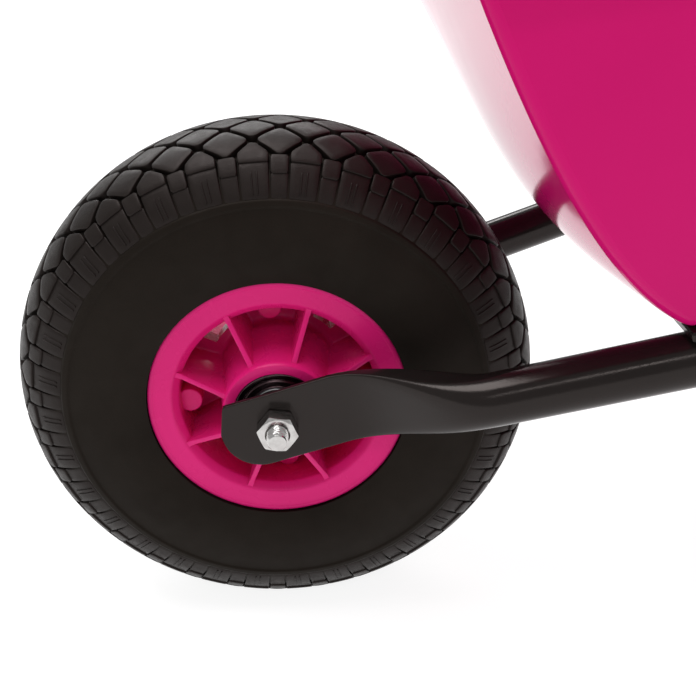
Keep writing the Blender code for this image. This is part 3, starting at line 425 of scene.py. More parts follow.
def make_worn_edges() -> bpy.types.NodeTree:
    """Build the group that gives a mask for pointed edges, scuffed on metal and a painted sheen on the tread:
    where the surface is pointed, broken by noise.
    """
    nodes, source, result = new_group(
        "worn_edges", (("Vector", "NodeSocketVector", None), ("Start", "NodeSocketFloat", 0.53),
                       ("Amount", "NodeSocketFloat", 0.5)),
        (("Mask", "NodeSocketFloat"),))
    shape = nodes.add("NewGeometry")
    end = nodes.add("Math", {0: source.outputs["Start"], 1: 0.08}, operation="ADD")
    edges = nodes.add("MapRange", {"Value": shape.outputs["Pointiness"], "From Min": source.outputs["Start"],
                                   "From Max": end.outputs[0]})
    noise = nodes.add("TexNoise", {"Vector": source.outputs["Vector"], "Scale": 180.0, "Detail": 4.0})
    broken = nodes.add("MapRange", {"Value": noise.outputs["Fac"], "From Min": 0.40, "From Max": 0.62})
    both = nodes.add("Math", {0: edges.outputs["Result"], 1: broken.outputs["Result"]}, operation="MULTIPLY")
    mask = nodes.add("Math", {0: both.outputs[0], 1: source.outputs["Amount"]}, operation="MULTIPLY",
                     use_clamp=True)
    nodes.tree.links.new(mask.outputs[0], result.inputs["Mask"])
    return nodes.tree


GROUPS: dict[str, bpy.types.NodeTree] = {}

Colour = tuple[float, float, float]


@dataclass(frozen=True)
class Finish:
    """One finish: what it is made of, and how far it varies.

    Attributes:
        name: name of the material.
        slot: the record's slot that it stands for; not used.
        colour: its main colour.
        second: the colour that it drifts to in patches.
        roughness: its smoothest and roughest.
        metallic: 1 for bare metal.
        patch: scale of the patches.
        grain: scale and depth of its grain.
        dust: how much dust it holds low down, and up to what height.
        edge_wear_and_sheen: how much its pointed edges are lightened: scuffed plating on metal, and on the tread
            a painted sheen.
        worn: colour of a lightened edge.
        specular: strength of its reflection.
        sheen_tint: colour of its reflection.
    """

    name: str
    slot: str
    colour: Colour
    second: Colour
    roughness: tuple[float, float]
    metallic: float = 0.0
    patch: float = 40.0
    grain: tuple[float, float] = (1200.0, 0.00004)
    dust: tuple[float, float] = (0.0, 0.08)
    # The next two lighten pointed edges: scuffed plating on metal, and on the tread a painted sheen of light on
    # the blocks.
    edge_wear_and_sheen: float = 0.0
    worn: Colour = (0.3, 0.3, 0.3)
    specular: float = 0.5
    sheen_tint: Colour = (1.0, 1.0, 1.0)

    def material(self) -> bpy.types.Material:
        """Give the finish's material, and make it when it is first asked for."""
        made = bpy.data.materials.get(self.name)
        if made is not None:
            return made
        made = bpy.data.materials.new(self.name)
        made.use_nodes = True
        made.diffuse_color = (*self.colour, 1.0)
        nodes = Nodes(made.node_tree)
        shader = made.node_tree.nodes["Principled BSDF"]
        place = nodes.add("TexCoord").outputs["Object"]
        patches = nodes.group(GROUPS["mottle"], {"Vector": place, "Scale": self.patch})
        colour = nodes.add("Mix", {"Factor": patches.outputs["Value"]}, data_type="RGBA")
        colour.inputs["A"].default_value = (*self.colour, 1.0)
        colour.inputs["B"].default_value = (*self.second, 1.0)
        last = self.tinted(nodes, colour.outputs[2], place)
        nodes.tree.links.new(last, shader.inputs["Base Color"])
        rough = nodes.group(GROUPS["mottle"], {"Vector": place, "Scale": self.patch * 3.7,
                                               "Low": self.roughness[0], "High": self.roughness[1]})
        nodes.tree.links.new(rough.outputs["Value"], shader.inputs["Roughness"])
        fine = nodes.group(GROUPS["grain"], {"Vector": place, "Scale": self.grain[0], "Depth": self.grain[1]})
        nodes.tree.links.new(fine.outputs["Normal"], shader.inputs["Normal"])
        shader.inputs["Metallic"].default_value = self.metallic
        shader.inputs["Specular IOR Level"].default_value = self.specular
        shader.inputs["Specular Tint"].default_value = (*self.sheen_tint, 1.0)
        return made

    def tinted(self, nodes: Nodes, colour: bpy.types.NodeSocket,
               place: bpy.types.NodeSocket) -> bpy.types.NodeSocket:
        """Lay lightened edges (scuffs, and on the tread a painted sheen) and dust over a colour, and give the
        result.
        """
        layers = []
        # Pointed edges are lightened: scuffed plating on metal, and on the tread a painted sheen.
        if self.edge_wear_and_sheen:
            edge_wear_and_sheen_mask = nodes.group(GROUPS["worn_edges"], {"Vector": place, "Amount": self.edge_wear_and_sheen})
            layers.append((edge_wear_and_sheen_mask, self.worn))
        if self.dust[0]:
            dusty = nodes.group(GROUPS["dust"], {"Vector": place, "Amount": self.dust[0],
                                                 "Top": self.dust[1]})
            layers.append((dusty, (0.16, 0.13, 0.105)))
        for mask, tint in layers:
            mix = nodes.add("Mix", {"Factor": mask.outputs["Mask"]}, data_type="RGBA")
            nodes.tree.links.new(colour, mix.inputs["A"])
            mix.inputs["B"].default_value = (*tint, 1.0)
            colour = mix.outputs[2]
        return colour


TYRE_RUBBER = Finish("tyre_rubber", "tyre", (0.0058, 0.0042, 0.0030), (0.0088, 0.0066, 0.0050), (0.46, 0.60),
                     patch=22.0, grain=(1500.0, 0.00006), dust=(0.04, 0.03), specular=0.12,
                     sheen_tint=(1.0, 0.86, 0.76))
# The tread is a slightly lighter copy of the tyre's rubber, with pale pinkish edges: painted sheen of the light
# on the blocks' tops.
SHEENED_TREAD_RUBBER = Finish("tread_rubber", "tyre", (0.0068, 0.0050, 0.0040), (0.0098, 0.0074, 0.0064),
                      (0.36, 0.50), patch=60.0, grain=(1500.0, 0.00008), dust=(0.05, 0.03), edge_wear_and_sheen=0.12,
                      worn=(0.030, 0.024, 0.024), specular=0.20, sheen_tint=(1.0, 0.86, 0.84))
RIM_PLASTIC = Finish("rim_pink_plastic", "rim_plastic", (0.700, 0.014, 0.175), (0.660, 0.011, 0.160),
                     (0.22, 0.32), patch=18.0, grain=(1700.0, 0.00001), specular=0.26,
                     sheen_tint=(1.0, 0.55, 0.80))
TRAY_PLASTIC = Finish("tray_pink_plastic", "tray_plastic", (0.570, 0.006, 0.138), (0.545, 0.005, 0.130),
                      (0.07, 0.11), patch=7.0, grain=(300.0, 0.00001), specular=0.12,
                      sheen_tint=(1.0, 0.42, 0.68))
BLACK_PAINT = Finish("black_powder_coat", "black_steel", (0.0088, 0.0070, 0.0066), (0.0120, 0.0098, 0.0092),
                     (0.13, 0.21), patch=14.0, grain=(700.0, 0.00003), dust=(0.03, 0.05), specular=0.26,
                     sheen_tint=(1.0, 0.88, 0.84))
GRIP_RUBBER = Finish("grip_rubber", "grip_rubber", (0.0150, 0.0148, 0.0150), (0.0210, 0.0205, 0.0205),
                     (0.62, 0.78), patch=35.0, grain=(2200.0, 0.00010), dust=(0.20, 0.02), specular=0.35)
ZINC = Finish("zinc_plate", "zinc_fasteners", (0.600, 0.590, 0.580), (0.450, 0.435, 0.425), (0.12, 0.26),
              metallic=1.0, patch=160.0, grain=(900.0, 0.00002), edge_wear_and_sheen=0.5, worn=(0.84, 0.83, 0.82))
BEARING_STEEL = Finish("bearing_steel", "bearing_steel", (0.560, 0.550, 0.550), (0.470, 0.460, 0.465),
                       (0.16, 0.26), metallic=1.0, patch=220.0, grain=(2800.0, 0.00002), edge_wear_and_sheen=0.6,
                       worn=(0.92, 0.91, 0.90))
# Dark, pink-tinged steel for the shield and the outer ring: painted shade and a painted pink reflection of the
# rim.
SHADED_PINK_SHIELD_STEEL = Finish("bearing_shield_steel", "bearing_steel", (0.120, 0.075, 0.085), (0.080, 0.052, 0.060),
                      (0.16, 0.26), metallic=1.0, patch=180.0, grain=(2400.0, 0.00003))
CAGE_BRASS = Finish("cage_brass", "cage_brass", (0.600, 0.440, 0.170), (0.500, 0.350, 0.130), (0.28, 0.42),
                    metallic=1.0, patch=200.0, grain=(2400.0, 0.00003))
TUBE_RUBBER = Finish("inner_tube_rubber", "inner_tube", (0.0190, 0.0185, 0.0185), (0.0260, 0.0250, 0.0250),
                     (0.55, 0.75), patch=30.0, grain=(1500.0, 0.00006))
CAP_PLASTIC = Finish("cap_plastic", "cap_plastic", (0.0180, 0.0180, 0.0190), (0.0240, 0.0235, 0.0240),
                     (0.42, 0.55), patch=120.0, grain=(2600.0, 0.00003))


# ---------------------------------------------------------------- pieces


def finish_piece(mesh: bpy.types.Mesh, finish: Finish, body: Body, replaced: Sequence[str] = (),
                 sharp: float = 38.0) -> bpy.types.Object:
    """Make a piece of a mesh: give it its finish and its body, and hide the CAD nodes that it stands for.

    Args:
        mesh: mesh data in the barrow's own axes.
        finish: its finish.
        body: the body that it rides on.
        replaced: CAD nodes that it stands for.
        sharp: angle in degrees past which an edge stays sharp.

    Returns:
        The piece.
    """
    piece = bpy.data.objects.new(mesh.name, mesh)
    bpy.context.scene.collection.objects.link(piece)
    mesh.materials.append(finish.material())
    mesh.shade_smooth()
    mesh.set_sharp_from_angle(angle=math.radians(sharp))
    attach(piece, body.value)
    if replaced:
        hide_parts(*replaced)
    log.info("%s: %d faces on %s", piece.name, len(mesh.polygons), body.value)
    return piece


def dress(nodes: Iterable[str], finish: Finish) -> None:
    """Give CAD nodes that keep their shape a finish."""
    for name in nodes:
        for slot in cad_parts[name].material_slots:
            slot.material = finish.material()
        log.info("%s: kept, in %s", name, finish.name)


def middle_of(node: str) -> Array:
    """Centre of a CAD node's box at rest."""
    low, high = (np.asarray(corner, float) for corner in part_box(node))
    return (low + high) / 2


AXLE = middle_of("tyre")


def wheel_axes(side: Side) -> Axes:
    """Axes on the axle: x straight back, y up, z out to a side."""
    return Axes(tuple(AXLE), (1.0, 0.0, 0.0), (0.0, 0.0, 1.0), (0.0, float(side.value), 0.0))


@dataclass
class TyreSection:
    """The outer curve of the tyre, by distance along it from the crown.

    It is |out/a|^p + |up/b|^p = 1 about the widest line, with a, b and p the fields below.
    """

    half_width: float = 42.5 * MM
    radius: float = 130.0 * MM
    height: float = 44.0 * MM
    squareness: float = 2.46

    def __post_init__(self) -> None:
        """Work out the curve's table."""
        angle = np.linspace(math.radians(90), math.radians(-26), 1200)
        power = 2 / self.squareness
        self._radius = self.radius - self.height + self.height * signed_power(np.sin(angle), power)
        self._across = self.half_width * signed_power(np.cos(angle), power)
        step = np.hypot(np.diff(self._radius), np.diff(self._across))
        self._length = np.concatenate(([0.0], np.cumsum(step)))

    @property
    def end(self) -> float:
        """Distance from the crown to the end of the curve."""
        return float(self._length[-1])

    def at(self, along: Array, depth: Array) -> tuple[Array, Array]:
        """Give the radius and the place across of points under the curve.

        Args:
            along: distance from the crown along the curve, negative on the right half.
            depth: depth below the curve, square to it.
        """
        size = np.abs(along)
        slope_r = np.interp(size, self._length, np.gradient(self._radius, self._length))
        slope_y = np.interp(size, self._length, np.gradient(self._across, self._length))
        radius = np.interp(size, self._length, self._radius) - depth * slope_y
        across = np.interp(size, self._length, self._across) + depth * slope_r
        return radius, np.where(along < 0, -across, across)


@dataclass(frozen=True)
class Block:
    """One kind of raised block in the tread.

    Attributes:
        outline: corners (along the tyre's circumference, distance from the crown), in millimetres.
        phase: where it stands in the pitch, from 0 to 1.
        depth: depth of its top below the tyre's full size.
        root: depth of its foot.
        bevel: width of its rounded edge.
        corner: how far from each corner its outline starts to round.
        points: points in its outline.
    """

    outline: tuple[tuple[float, float], ...]
    phase: float
    depth: float = 0.0
    root: float = 4.2
    bevel: float = 0.45
    corner: float = 0.7
    points: int = 24


def mirrored_outline(half: Sequence[tuple[float, float]]) -> tuple[tuple[float, float], ...]:
    """Outline with two like halves, from the corners of the half with positive x."""
    back = [(-x, y) for x, y in reversed(half) if x > 0]
    return tuple(half) + tuple(back)


@dataclass
class Tyre:
    """Pneumatic tyre: a body with a ridge on each side wall, and blocks in rows round the tread."""

    pitches: int = 32
    phase: float = math.radians(88.0)
    reference: float = 127.0
    diamond_half: tuple[float, float] = (11.2, 9.75)
    diamond_cut: float = 0.11
    row_gap: float = 11.35
    groove: float = 3.3
    steps: int = 192

    def __post_init__(self) -> None:
        """Work out the section that everything is laid on."""
        self.section = TyreSection()

    def blocks(self) -> list[Block]:
        """List the kinds of block on the left half, and the middle row.

        Diamonds stand in five rows, each half a pitch on from the next.  Below them come house-shaped lugs
        between the diamonds and narrow lugs under their tips, and both carry on down the side wall.
        """
        across, tall = self.diamond_half
        cut = self.diamond_cut
        made = []
        for row in range(3):
            middle = row * self.row_gap
            half = ((cut * across, middle - tall * (1 - cut)), (across * (1 - cut), middle - cut * tall),
                    (across * (1 - cut), middle + cut * tall), (cut * across, middle + tall * (1 - cut)))
            made.append(Block(mirrored_outline(half), 0.5 * (row % 2), points=32))
        wide, narrow = 7.3, 4.4
        made.append(Block(mirrored_outline(((0.9, 24.6), (wide, 30.4), (wide, 35.4))), 0.5, corner=0.8))
        made.append(Block(mirrored_outline(((wide, 34.6), (wide, 52.6))), 0.5, 0.85, 3.4, 0.5, 0.7, 28))
        made.append(Block(mirrored_outline(((narrow, 31.6), (narrow, 41.0))), 0.0, 0.35, 4.0, 0.45, 0.7, 20))
        made.append(Block(mirrored_outline(((narrow, 40.4), (narrow, 52.6))), 0.0, 1.0, 3.0, 0.4, 0.7, 20))
        for shift in (-1.35, 1.35):
            made.append(Block(((shift - 0.4, 39.6), (shift + 0.4, 39.6), (shift + 0.4, 51.0),
                               (shift - 0.4, 51.0)), 0.5, 0.45, 1.6, 0.2, 0.2, 16))
        return made

    def stamp(self, shell: Shell, block: Block, mirror: bool) -> None:
        """Lay one kind of block round the tyre.

        The outline is evened out, then repeated as rings: two down its walls, one for its rounded edge, and
        smaller ones across its top, so that the top follows the tyre's curve.

        Args:
            shell: where the blocks go.
            block: the kind of block.
            mirror: whether it goes on the right half.
        """
        corners = np.asarray(block.outline)
        loop = rounded([(x, y, block.corner) for x, y in corners], 3) / MM
        loop = np.concatenate((loop, loop[:1]))
        length = np.concatenate(([0.0], np.cumsum(np.linalg.norm(np.diff(loop, axis=0), axis=1))))
        even = np.linspace(0, length[-1], block.points, endpoint=False)
        outline = np.stack([np.interp(even, length, loop[:, k]) for k in (0, 1)], axis=-1)
        centre = (corners.max(axis=0) + corners.min(axis=0)) / 2
        half = (corners.max(axis=0) - corners.min(axis=0)) / 2
        inset = block.bevel * np.array([-0.9, 0.0, 0.35, 1.0])
        rings = [centre + (outline - centre) * (1 - step / half) for step in inset]
        edge = rings[-1]
        rings += [centre + (edge - centre) * share for share in (0.66, 0.33, 0.0)]
        grid = np.stack(rings)
        depth = np.array([block.root, block.depth + block.bevel, block.depth + 0.25 * block.bevel,
                          block.depth, block.depth, block.depth, block.depth]) * MM
        along = grid[..., 1] * MM
        if mirror:
            along = -along
        radius, across = self.section.at(along, np.broadcast_to(depth[:, None], along.shape))
        turn = TAU / self.pitches
        places = self.phase + turn * (np.arange(self.pitches) + block.phase)
        angle = places[:, None, None] + grid[None, ..., 0] / self.reference
        shell.add(wheel_axes(Side.LEFT).at(polar(radius[None], angle, across[None])))

    def tread(self) -> None:
        """Make all the blocks."""
        shell = Shell()
        for block in self.blocks():
            on_middle = min(y for _, y in block.outline) < 0
            self.stamp(shell, block, False)
            if not on_middle:
                self.stamp(shell, block, True)
        finish_piece(shell.mesh("tyre_tread_blocks"), SHEENED_TREAD_RUBBER, Body.WHEEL, sharp=50.0)

    def body(self) -> None:
        """Make the tyre's body, whose depth below its full size changes with distance from the crown."""
        knots = np.array([(0.0, self.groove), (30.0, self.groove), (34.0, 3.1), (38.0, 2.6), (42.0, 2.0),
                          (46.0, 1.45), (50.0, 1.1), (52.4, 1.05), (53.0, 0.55), (53.5, 0.4), (55.6, 0.4),
                          (56.1, 0.55), (56.7, 1.2), (60.0, 1.15), (66.0, 0.7), (74.0, 0.25),
                          (self.section.end / MM, 0.0)]) * MM
        fine = np.linspace(52.0, 57.2, 14) * MM
        coarse = np.concatenate((np.linspace(0, 51.5, 30) * MM,
                                 np.linspace(57.8 * MM, self.section.end, 16)))
        along = np.sort(np.concatenate((fine, coarse)))
        along = np.concatenate((along[::-1], -along[1:]))
        depth = np.interp(np.abs(along), knots[:, 0], knots[:, 1])
        radius, across = self.section.at(along, depth)
        low_r, low_y = self.section.at(np.array([self.section.end]), np.array([0.0]))
        lip = [(float(low_r[0]) + 0.2 * MM, float(low_y[0]) - 0.8 * MM), (63.9 * MM, 36.0 * MM),
               (63.9 * MM, 33.9 * MM), (53.7 * MM, 33.9 * MM), (53.7 * MM, 24.6 * MM), (62.0 * MM, 30.0 * MM),
               (86.0 * MM, 36.5 * MM), (108.0 * MM, 31.0 * MM), (118.5 * MM, 14.0 * MM)]
        inside = lip[::-1]
        inside = [(r, -y) for r, y in lip] + inside
        profile = np.concatenate((np.stack((radius, across), axis=-1), np.asarray(inside)))
        shell = Shell()
        lathe(shell, profile, wheel_axes(Side.LEFT), self.steps)
        finish_piece(shell.mesh("tyre_body"), TYRE_RUBBER, Body.WHEEL, ["tyre"], sharp=45.0)

    def build(self) -> None:
        """Make the whole tyre."""
        self.body()
        self.tread()


@dataclass
class Rim:
    """Half of the rim: a moulded disc with flange, barrel, hub, eight ribs, four bosses and four windows."""

    side: Side
    rib_count: int = 8
    first_rib: float = math.radians(27.0)
    rib_tops: tuple[tuple[float, float], tuple[float, float]] = ((24.6, 45.5), (51.4, 35.2))
    boss_circle: float = 42.5 * MM
    boss_radius: float = 5.8
    boss_height: float = 18.0
    pad_circle: float = 44.4 * MM
    pad: tuple[float, float] = (6.2, 26.0)
    screw_angle: float = math.radians(4.5)
    floor: float = 0.15
    web: float = 4.65
    window_rows: tuple[float, ...] = (36.0, 38.5, 41.0, 43.5, 46.0)

    def front(self) -> Array:
        """Profile (radius, height) of the outer face, from the bearing's seat to the flange's edge."""
        return np.concatenate((
            rounded([(16.0, 35.2, 0.0), (21.3, 35.2, 0.0), (21.3, 48.0, 0.5), (26.2, 48.0, 0.8)], 4)[4:],
            self.line((26.4, 46.6), (30.6, 7.4), 16),
            rounded([(30.6, 7.4, 0.0), (31.0, self.web, 2.4), (34.0, self.web, 0.0)], 5)[5:10],
            np.array([(r, self.web) for r in self.window_rows]) * MM,
            rounded([(46.4, self.web, 0.0), (47.7, self.web, 1.1), (47.9, 8.0, 0.0)], 4)[4:8],
            self.line((47.9, 8.0), (48.4, 32.0), 12),
            rounded([(48.4, 32.0, 0.0), (48.5, 33.0, 0.8), (52.0, 36.6, 0.9), (53.6, 36.75, 0.0)], 5)[5:15],
            self.line((54.0, 36.6), (60.6, 36.9), 5),
            rounded([(60.8, 36.9, 0.0), (61.2, 37.2, 0.35), (63.5, 37.2, 1.1), (63.5, 35.0, 0.8),
                     (62.6, 34.2, 0.0)], 5)[5:20]))

    def back(self) -> Array:
        """Profile of the hidden face, from the flange's edge to the bearing's seat."""
        floor_rows = [(r, self.floor) for r in self.window_rows[::-1]]
        return np.array([(53.4, 34.2), (52.8, 22.5), (50.9, 18.0), (50.8, self.floor)] + floor_rows
                        + [(30.0, self.floor), (16.0, self.floor), (16.0, 35.2), (21.3, 35.2)]) * MM

    @staticmethod
    def line(start: tuple[float, float], end: tuple[float, float], count: int) -> Array:
        """Evenly spaced points between two, in millimetres."""
        return np.linspace(start, end, count) * MM

    def angles(self, radius: Array) -> tuple[Array, Array]:
        """Angles of the columns at each radius, and how much of a rib's height each column takes.

        A rib has parallel sides, so a column that follows one lies at asin(distance / radius) from the rib's
        middle.  The columns between two ribs are evenly spaced.

        Args:
            radius: radius of each row.

        Returns:
            Arrays of (rows, columns) and of (columns).
        """
        near = np.array([0.0, 0.75, 1.18, 1.34, 1.42, 1.52, 1.95, 2.9]) * MM
        share = np.array([1.0, 1.0, 0.992, 0.95, 0.05, 0.01, 0.0, 0.0])
        sector = TAU / self.rib_count
        size = np.maximum(radius, 10 * MM)[:, None]
        rise = np.arcsin(near[None, :] / size)
        between = np.linspace(0, 1, 11)[None, 1:-1]
        middle = rise[:, -1:] + (sector - 2 * rise[:, -1:]) * between
        one = np.concatenate((rise, middle, sector - rise[:, :0:-1]), axis=1)
        starts = self.first_rib + sector * np.arange(self.rib_count)
        angle = (starts[None, :, None] + one[:, None, :]).reshape(len(radius), -1)
        taken = np.concatenate((share, np.zeros(between.size), share[:0:-1]))
        return angle, np.tile(taken, self.rib_count)

    def windows(self, columns: int) -> list[Indices]:
        """Columns of each window: the middle ones of every other pocket."""
        sector = columns // self.rib_count
        return [k * sector + sector // 2 + np.arange(-2, 4) for k in range(0, self.rib_count, 2)]

    def build(self) -> None:
        """Make the rim half: the ribs are the outer face raised, wherever that makes it higher."""
        front, back = self.front(), self.back()
        profile = np.concatenate((front, back))
        angle, share = self.angles(profile[:, 0])
        (r0, z0), (r1, z1) = self.rib_tops
        top = (z0 + (profile[:, 0] / MM - r0) * (z1 - z0) / (r1 - r0)) * MM
        ribbed = (np.arange(len(profile)) < len(front)) & (profile[:, 0] > 24.0 * MM) \
            & (profile[:, 0] < 51.6 * MM) & (profile[:, 1] < top)
        lift = np.where(ribbed, top - profile[:, 1], 0.0)
        height = profile[:, 1:] + lift[:, None] * share[None, :]
        points = wheel_axes(self.side).at(polar(profile[:, :1], angle, height))

        rows, columns = angle.shape
        first = int(np.argmin(np.hypot(front[:, 0] - self.window_rows[0] * MM,
                                       front[:, 1] - self.web * MM)))
        last = first + len(self.window_rows) - 1
        floor = len(front) + 4
        keep = np.ones((rows, columns), bool)
        for window in self.windows(columns):
            cells = window[:-1]
            keep[np.ix_(range(first, last), cells)] = False
            keep[np.ix_(range(floor, floor + last - first), cells)] = False
        shell = Shell()
        index = shell.add(points, wrap_rows=True, keep=keep)
        for window in self.windows(columns):
            shell.bridge(index[first, window], index[floor + last - first, window])
            shell.bridge(index[last, window], index[floor, window])
            for column in (window[0], window[-1]):
                shell.bridge(index[first:last + 1, column],
                             index[floor:floor + last - first + 1, column][::-1])
        self.bosses(shell)
        word = self.side.word
        finish_piece(shell.mesh(f"rim_{word}_ribbed"), RIM_PLASTIC, Body.WHEEL, [f"rim_half_{word}"], 42.0)

    def bosses(self, shell: Shell) -> None:
        """Add the screw bosses; on the left half two of them are taller pads, run into the barrel's wall."""
        for k in range(4):
            angle = self.screw_angle + k * TAU / 4
            tall = self.side is Side.LEFT and k % 2 == 0
            circle = self.pad_circle if tall else self.boss_circle
            radius, height = self.pad if tall else (self.boss_radius, self.boss_height)
            profile = rounded([(0.0, height, 0.0), (radius, height, 0.7), (radius + 0.2, self.web - 1.0, 0.0),
                               (0.0, self.web - 1.0, 0.0)], 5)
            place = (circle * math.cos(angle), circle * math.sin(angle), 0.0)
            lathe(shell, profile, wheel_axes(self.side).moved(place), 40, ring=False)


@dataclass
class Bearing:
    """Ball bearing with a dished shield, and the spacer between it and the frame."""

    side: Side
    face: float = 47.5
    width: float = 12.0

    def build(self) -> None:
        """Make the rings, the shield and the spacer."""
        word, axes = self.side.word, wheel_axes(self.side)
        low, high = self.face - self.width, self.face
        # The outer ring and the shield take the dark pink shield steel: painted shade and a painted pink
        # reflection of the rim.
        parts = (
            ("outer", [(18.1, high, 0.35), (20.95, high, 0.5), (20.95, low, 0.5), (18.1, low, 0.35)],
             SHADED_PINK_SHIELD_STEEL, Body.WHEEL),
            ("inner", [(10.3, high, 0.4), (13.2, high, 0.3), (13.2, low, 0.3), (10.3, low, 0.4)],
             BEARING_STEEL, Body.FRAME),
            ("shield", [(13.6, high - 0.9, 0.1), (13.6, high - 0.5, 0.2), (14.6, high - 0.35, 0.5),
                        (16.6, high - 0.9, 0.6), (17.8, high - 0.35, 0.2), (17.8, high - 0.95, 0.1),
                        (16.6, high - 1.45, 0.4), (14.6, high - 1.0, 0.3)], SHADED_PINK_SHIELD_STEEL, Body.WHEEL),
        )
        for label, corners, finish, body in parts:
            shell = Shell()
            lathe(shell, rounded(corners, 5), axes, 96)
            finish_piece(shell.mesh(f"bearing_{label}_{word}_turned"), finish, body,
                         [f"bearing_{label}_{word}"])
        shell = Shell()
        lathe(shell, rounded([(10.3, 55.7, 0.4), (13.25, 55.7, 0.5), (13.25, 47.8, 0.4), (10.3, 47.8, 0.3)], 5),
              axes, 80)
        finish_piece(shell.mesh(f"hub_spacer_{word}_turned"), ZINC, Body.FRAME, [f"hub_spacer_{word}"])


# ---------------------------------------------------------------- fasteners


def hexagon(angle: Array, flats: float) -> Array:
    """Radius of a hexagon with slightly rounded corners.

    It is the apothem over the p-norm of the cosines to the six flats, with p = 60.
    """
    toward = np.cos(angle[..., None] - TAU * np.arange(6) / 6 - TAU / 12)
    return flats / 2 * (np.maximum(toward, 0.0) ** 60).sum(axis=-1) ** (-1 / 60)


@dataclass(frozen=True)
class Thread:
    """A size of screw thread, in millimetres.  Its radius falls and rises once in each pitch of its helix."""

    radius: float
    pitch: float

    def radius_at(self, angle: Array, height: Array) -> Array:
        """Radius of the threaded surface at an angle and a height."""
        turn = height / self.pitch - angle / TAU
        wave = np.abs(2 * (turn - np.floor(turn)) - 1)
        return self.radius - 0.60 * self.pitch * np.clip(1.25 * wave - 0.12, 0.0, 1.0)


AXLE_THREAD = Thread(5.0, 1.5)
AXLE_FLATS, AXLE_HEAD_HEIGHT, AXLE_THREAD_LENGTH = 17.0, 6.4, 24.0
LEG_THREAD = Thread(4.0, 1.25)
SMALL_THREAD = Thread(3.0, 1.0)
SCREW_THREAD = Thread(2.5, 1.6)


@dataclass
class Fastener:
    """Hexagon bolt or nut, turned and chamfered, on axes whose z points out of its seat."""

    thread: Thread
    flats: float
    height: float
    columns: int = 96

    def crown(self, angle: Array, top: float) -> list[tuple[Array | float, Array | float]]:
        """Rows (radius, height) of the chamfered end: a cone at 30 degrees cuts the hexagon."""
        corner = hexagon(angle, self.flats)
        round_to = self.flats / 2 * 0.94
        drop = (corner - round_to) * math.tan(math.radians(30))
        return [(round_to - 0.15, top), (round_to + 0.05, top - 0.04), (corner - 0.02, top - drop),
                (corner, top - drop - 0.12)]

    def surface(self, rows: Sequence[tuple[Array | float, Array | float]], axes: Axes, ring: bool,
                shell: Shell) -> None:
        """Turn rows of (radius, height), each one value or one for each column, into a surface."""
        angle = around(self.columns)[0]
        radius = np.stack([np.broadcast_to(r, angle.shape) for r, _ in rows]) * MM
        height = np.stack([np.broadcast_to(z, angle.shape) for _, z in rows]) * MM
        shell.add(axes.at(polar(radius, angle[None, :], height)), wrap_rows=ring)

    def nut(self, name: str, node: str, axes: Axes, body: Body) -> None:
        """Make a nut, with a countersink at both ends of its bore."""
        angle = around(self.columns)[0]
        corner, bore = hexagon(angle, self.flats), self.thread.radius + 0.12
        foot = self.flats / 2 * 0.97
        rows = [(bore, 0.7), (bore + 0.7, 0.0), (foot, 0.0), (corner, (corner - foot) * 0.5)]
        rows += self.crown(angle, self.height)[::-1]
        rows += [(bore + 0.75, self.height), (bore, self.height - 0.75)]
        shell = Shell()
        self.surface(rows, axes, True, shell)
        finish_piece(shell.mesh(name), ZINC, body, [node], 30.0)

    def bolt(self, name: str, node: str, axes: Axes, body: Body, length: float, threaded: float) -> None:
        """Make a bolt whose head stands on the seat and whose shank goes through it.

        Args:
            name: name of the piece.
            node: the CAD node that it stands for.
            axes: the seat, with z out of it.
            body: the body that it rides on.
            length: length of the shank.
            threaded: length of the thread, from the shank's end.
        """
        angle = around(self.columns)[0]
        corner, shank = hexagon(angle, self.flats), self.thread.radius
        rows: list[tuple[Array | float, Array | float]] = [(0.0, self.height)]
        rows += self.crown(angle, self.height)
        rows += [(corner, 0.3), (corner - 0.3, 0.0), (shank, 0.0), (shank, -length + threaded)]
        steps = int(threaded / self.thread.pitch * 7)
        for height in np.linspace(-length + threaded - 0.2, -length + 1.0, steps):
            fade = float(smooth_step(-length + threaded, -length + threaded - self.thread.pitch, height))
            radius = self.thread.radius_at(angle, height)
            rows.append((shank + (radius - shank) * fade, height))
        rows += [(shank - 0.62 * self.thread.pitch, -length + 0.15), (shank - 0.8 * self.thread.pitch, -length),
                 (0.0, -length)]
        shell = Shell()
        self.surface(rows, axes, False, shell)
        finish_piece(shell.mesh(name), ZINC, body, [node], 30.0)


@dataclass
class AxleSet:
    """Axle bolt and nut on the outer faces of the frame's plates."""

    seat: float = 59.5 * MM
    turn: float = math.radians(-8)
    nut_height: float = 8.4
    end: float = 7.0

    def build(self) -> None:
        """Make the bolt and the nut."""
        fastener = Fastener(AXLE_THREAD, AXLE_FLATS, AXLE_HEAD_HEIGHT)
        right = Axes.along(AXLE + (0, self.seat, 0), (0, 1, 0), math.radians(11))
        length = 2 * self.seat / MM + self.nut_height + self.end
        fastener.bolt("axle_bolt_threaded", "axle_bolt", right, Body.FRAME, length, AXLE_THREAD_LENGTH)
        left = Axes.along(AXLE - (0, self.seat, 0), (0, -1, 0), self.turn)
        Fastener(AXLE_THREAD, AXLE_FLATS, self.nut_height).nut("axle_nut_chamfered", "axle_nut", left, Body.FRAME)


# ---------------------------------------------------------------- frame


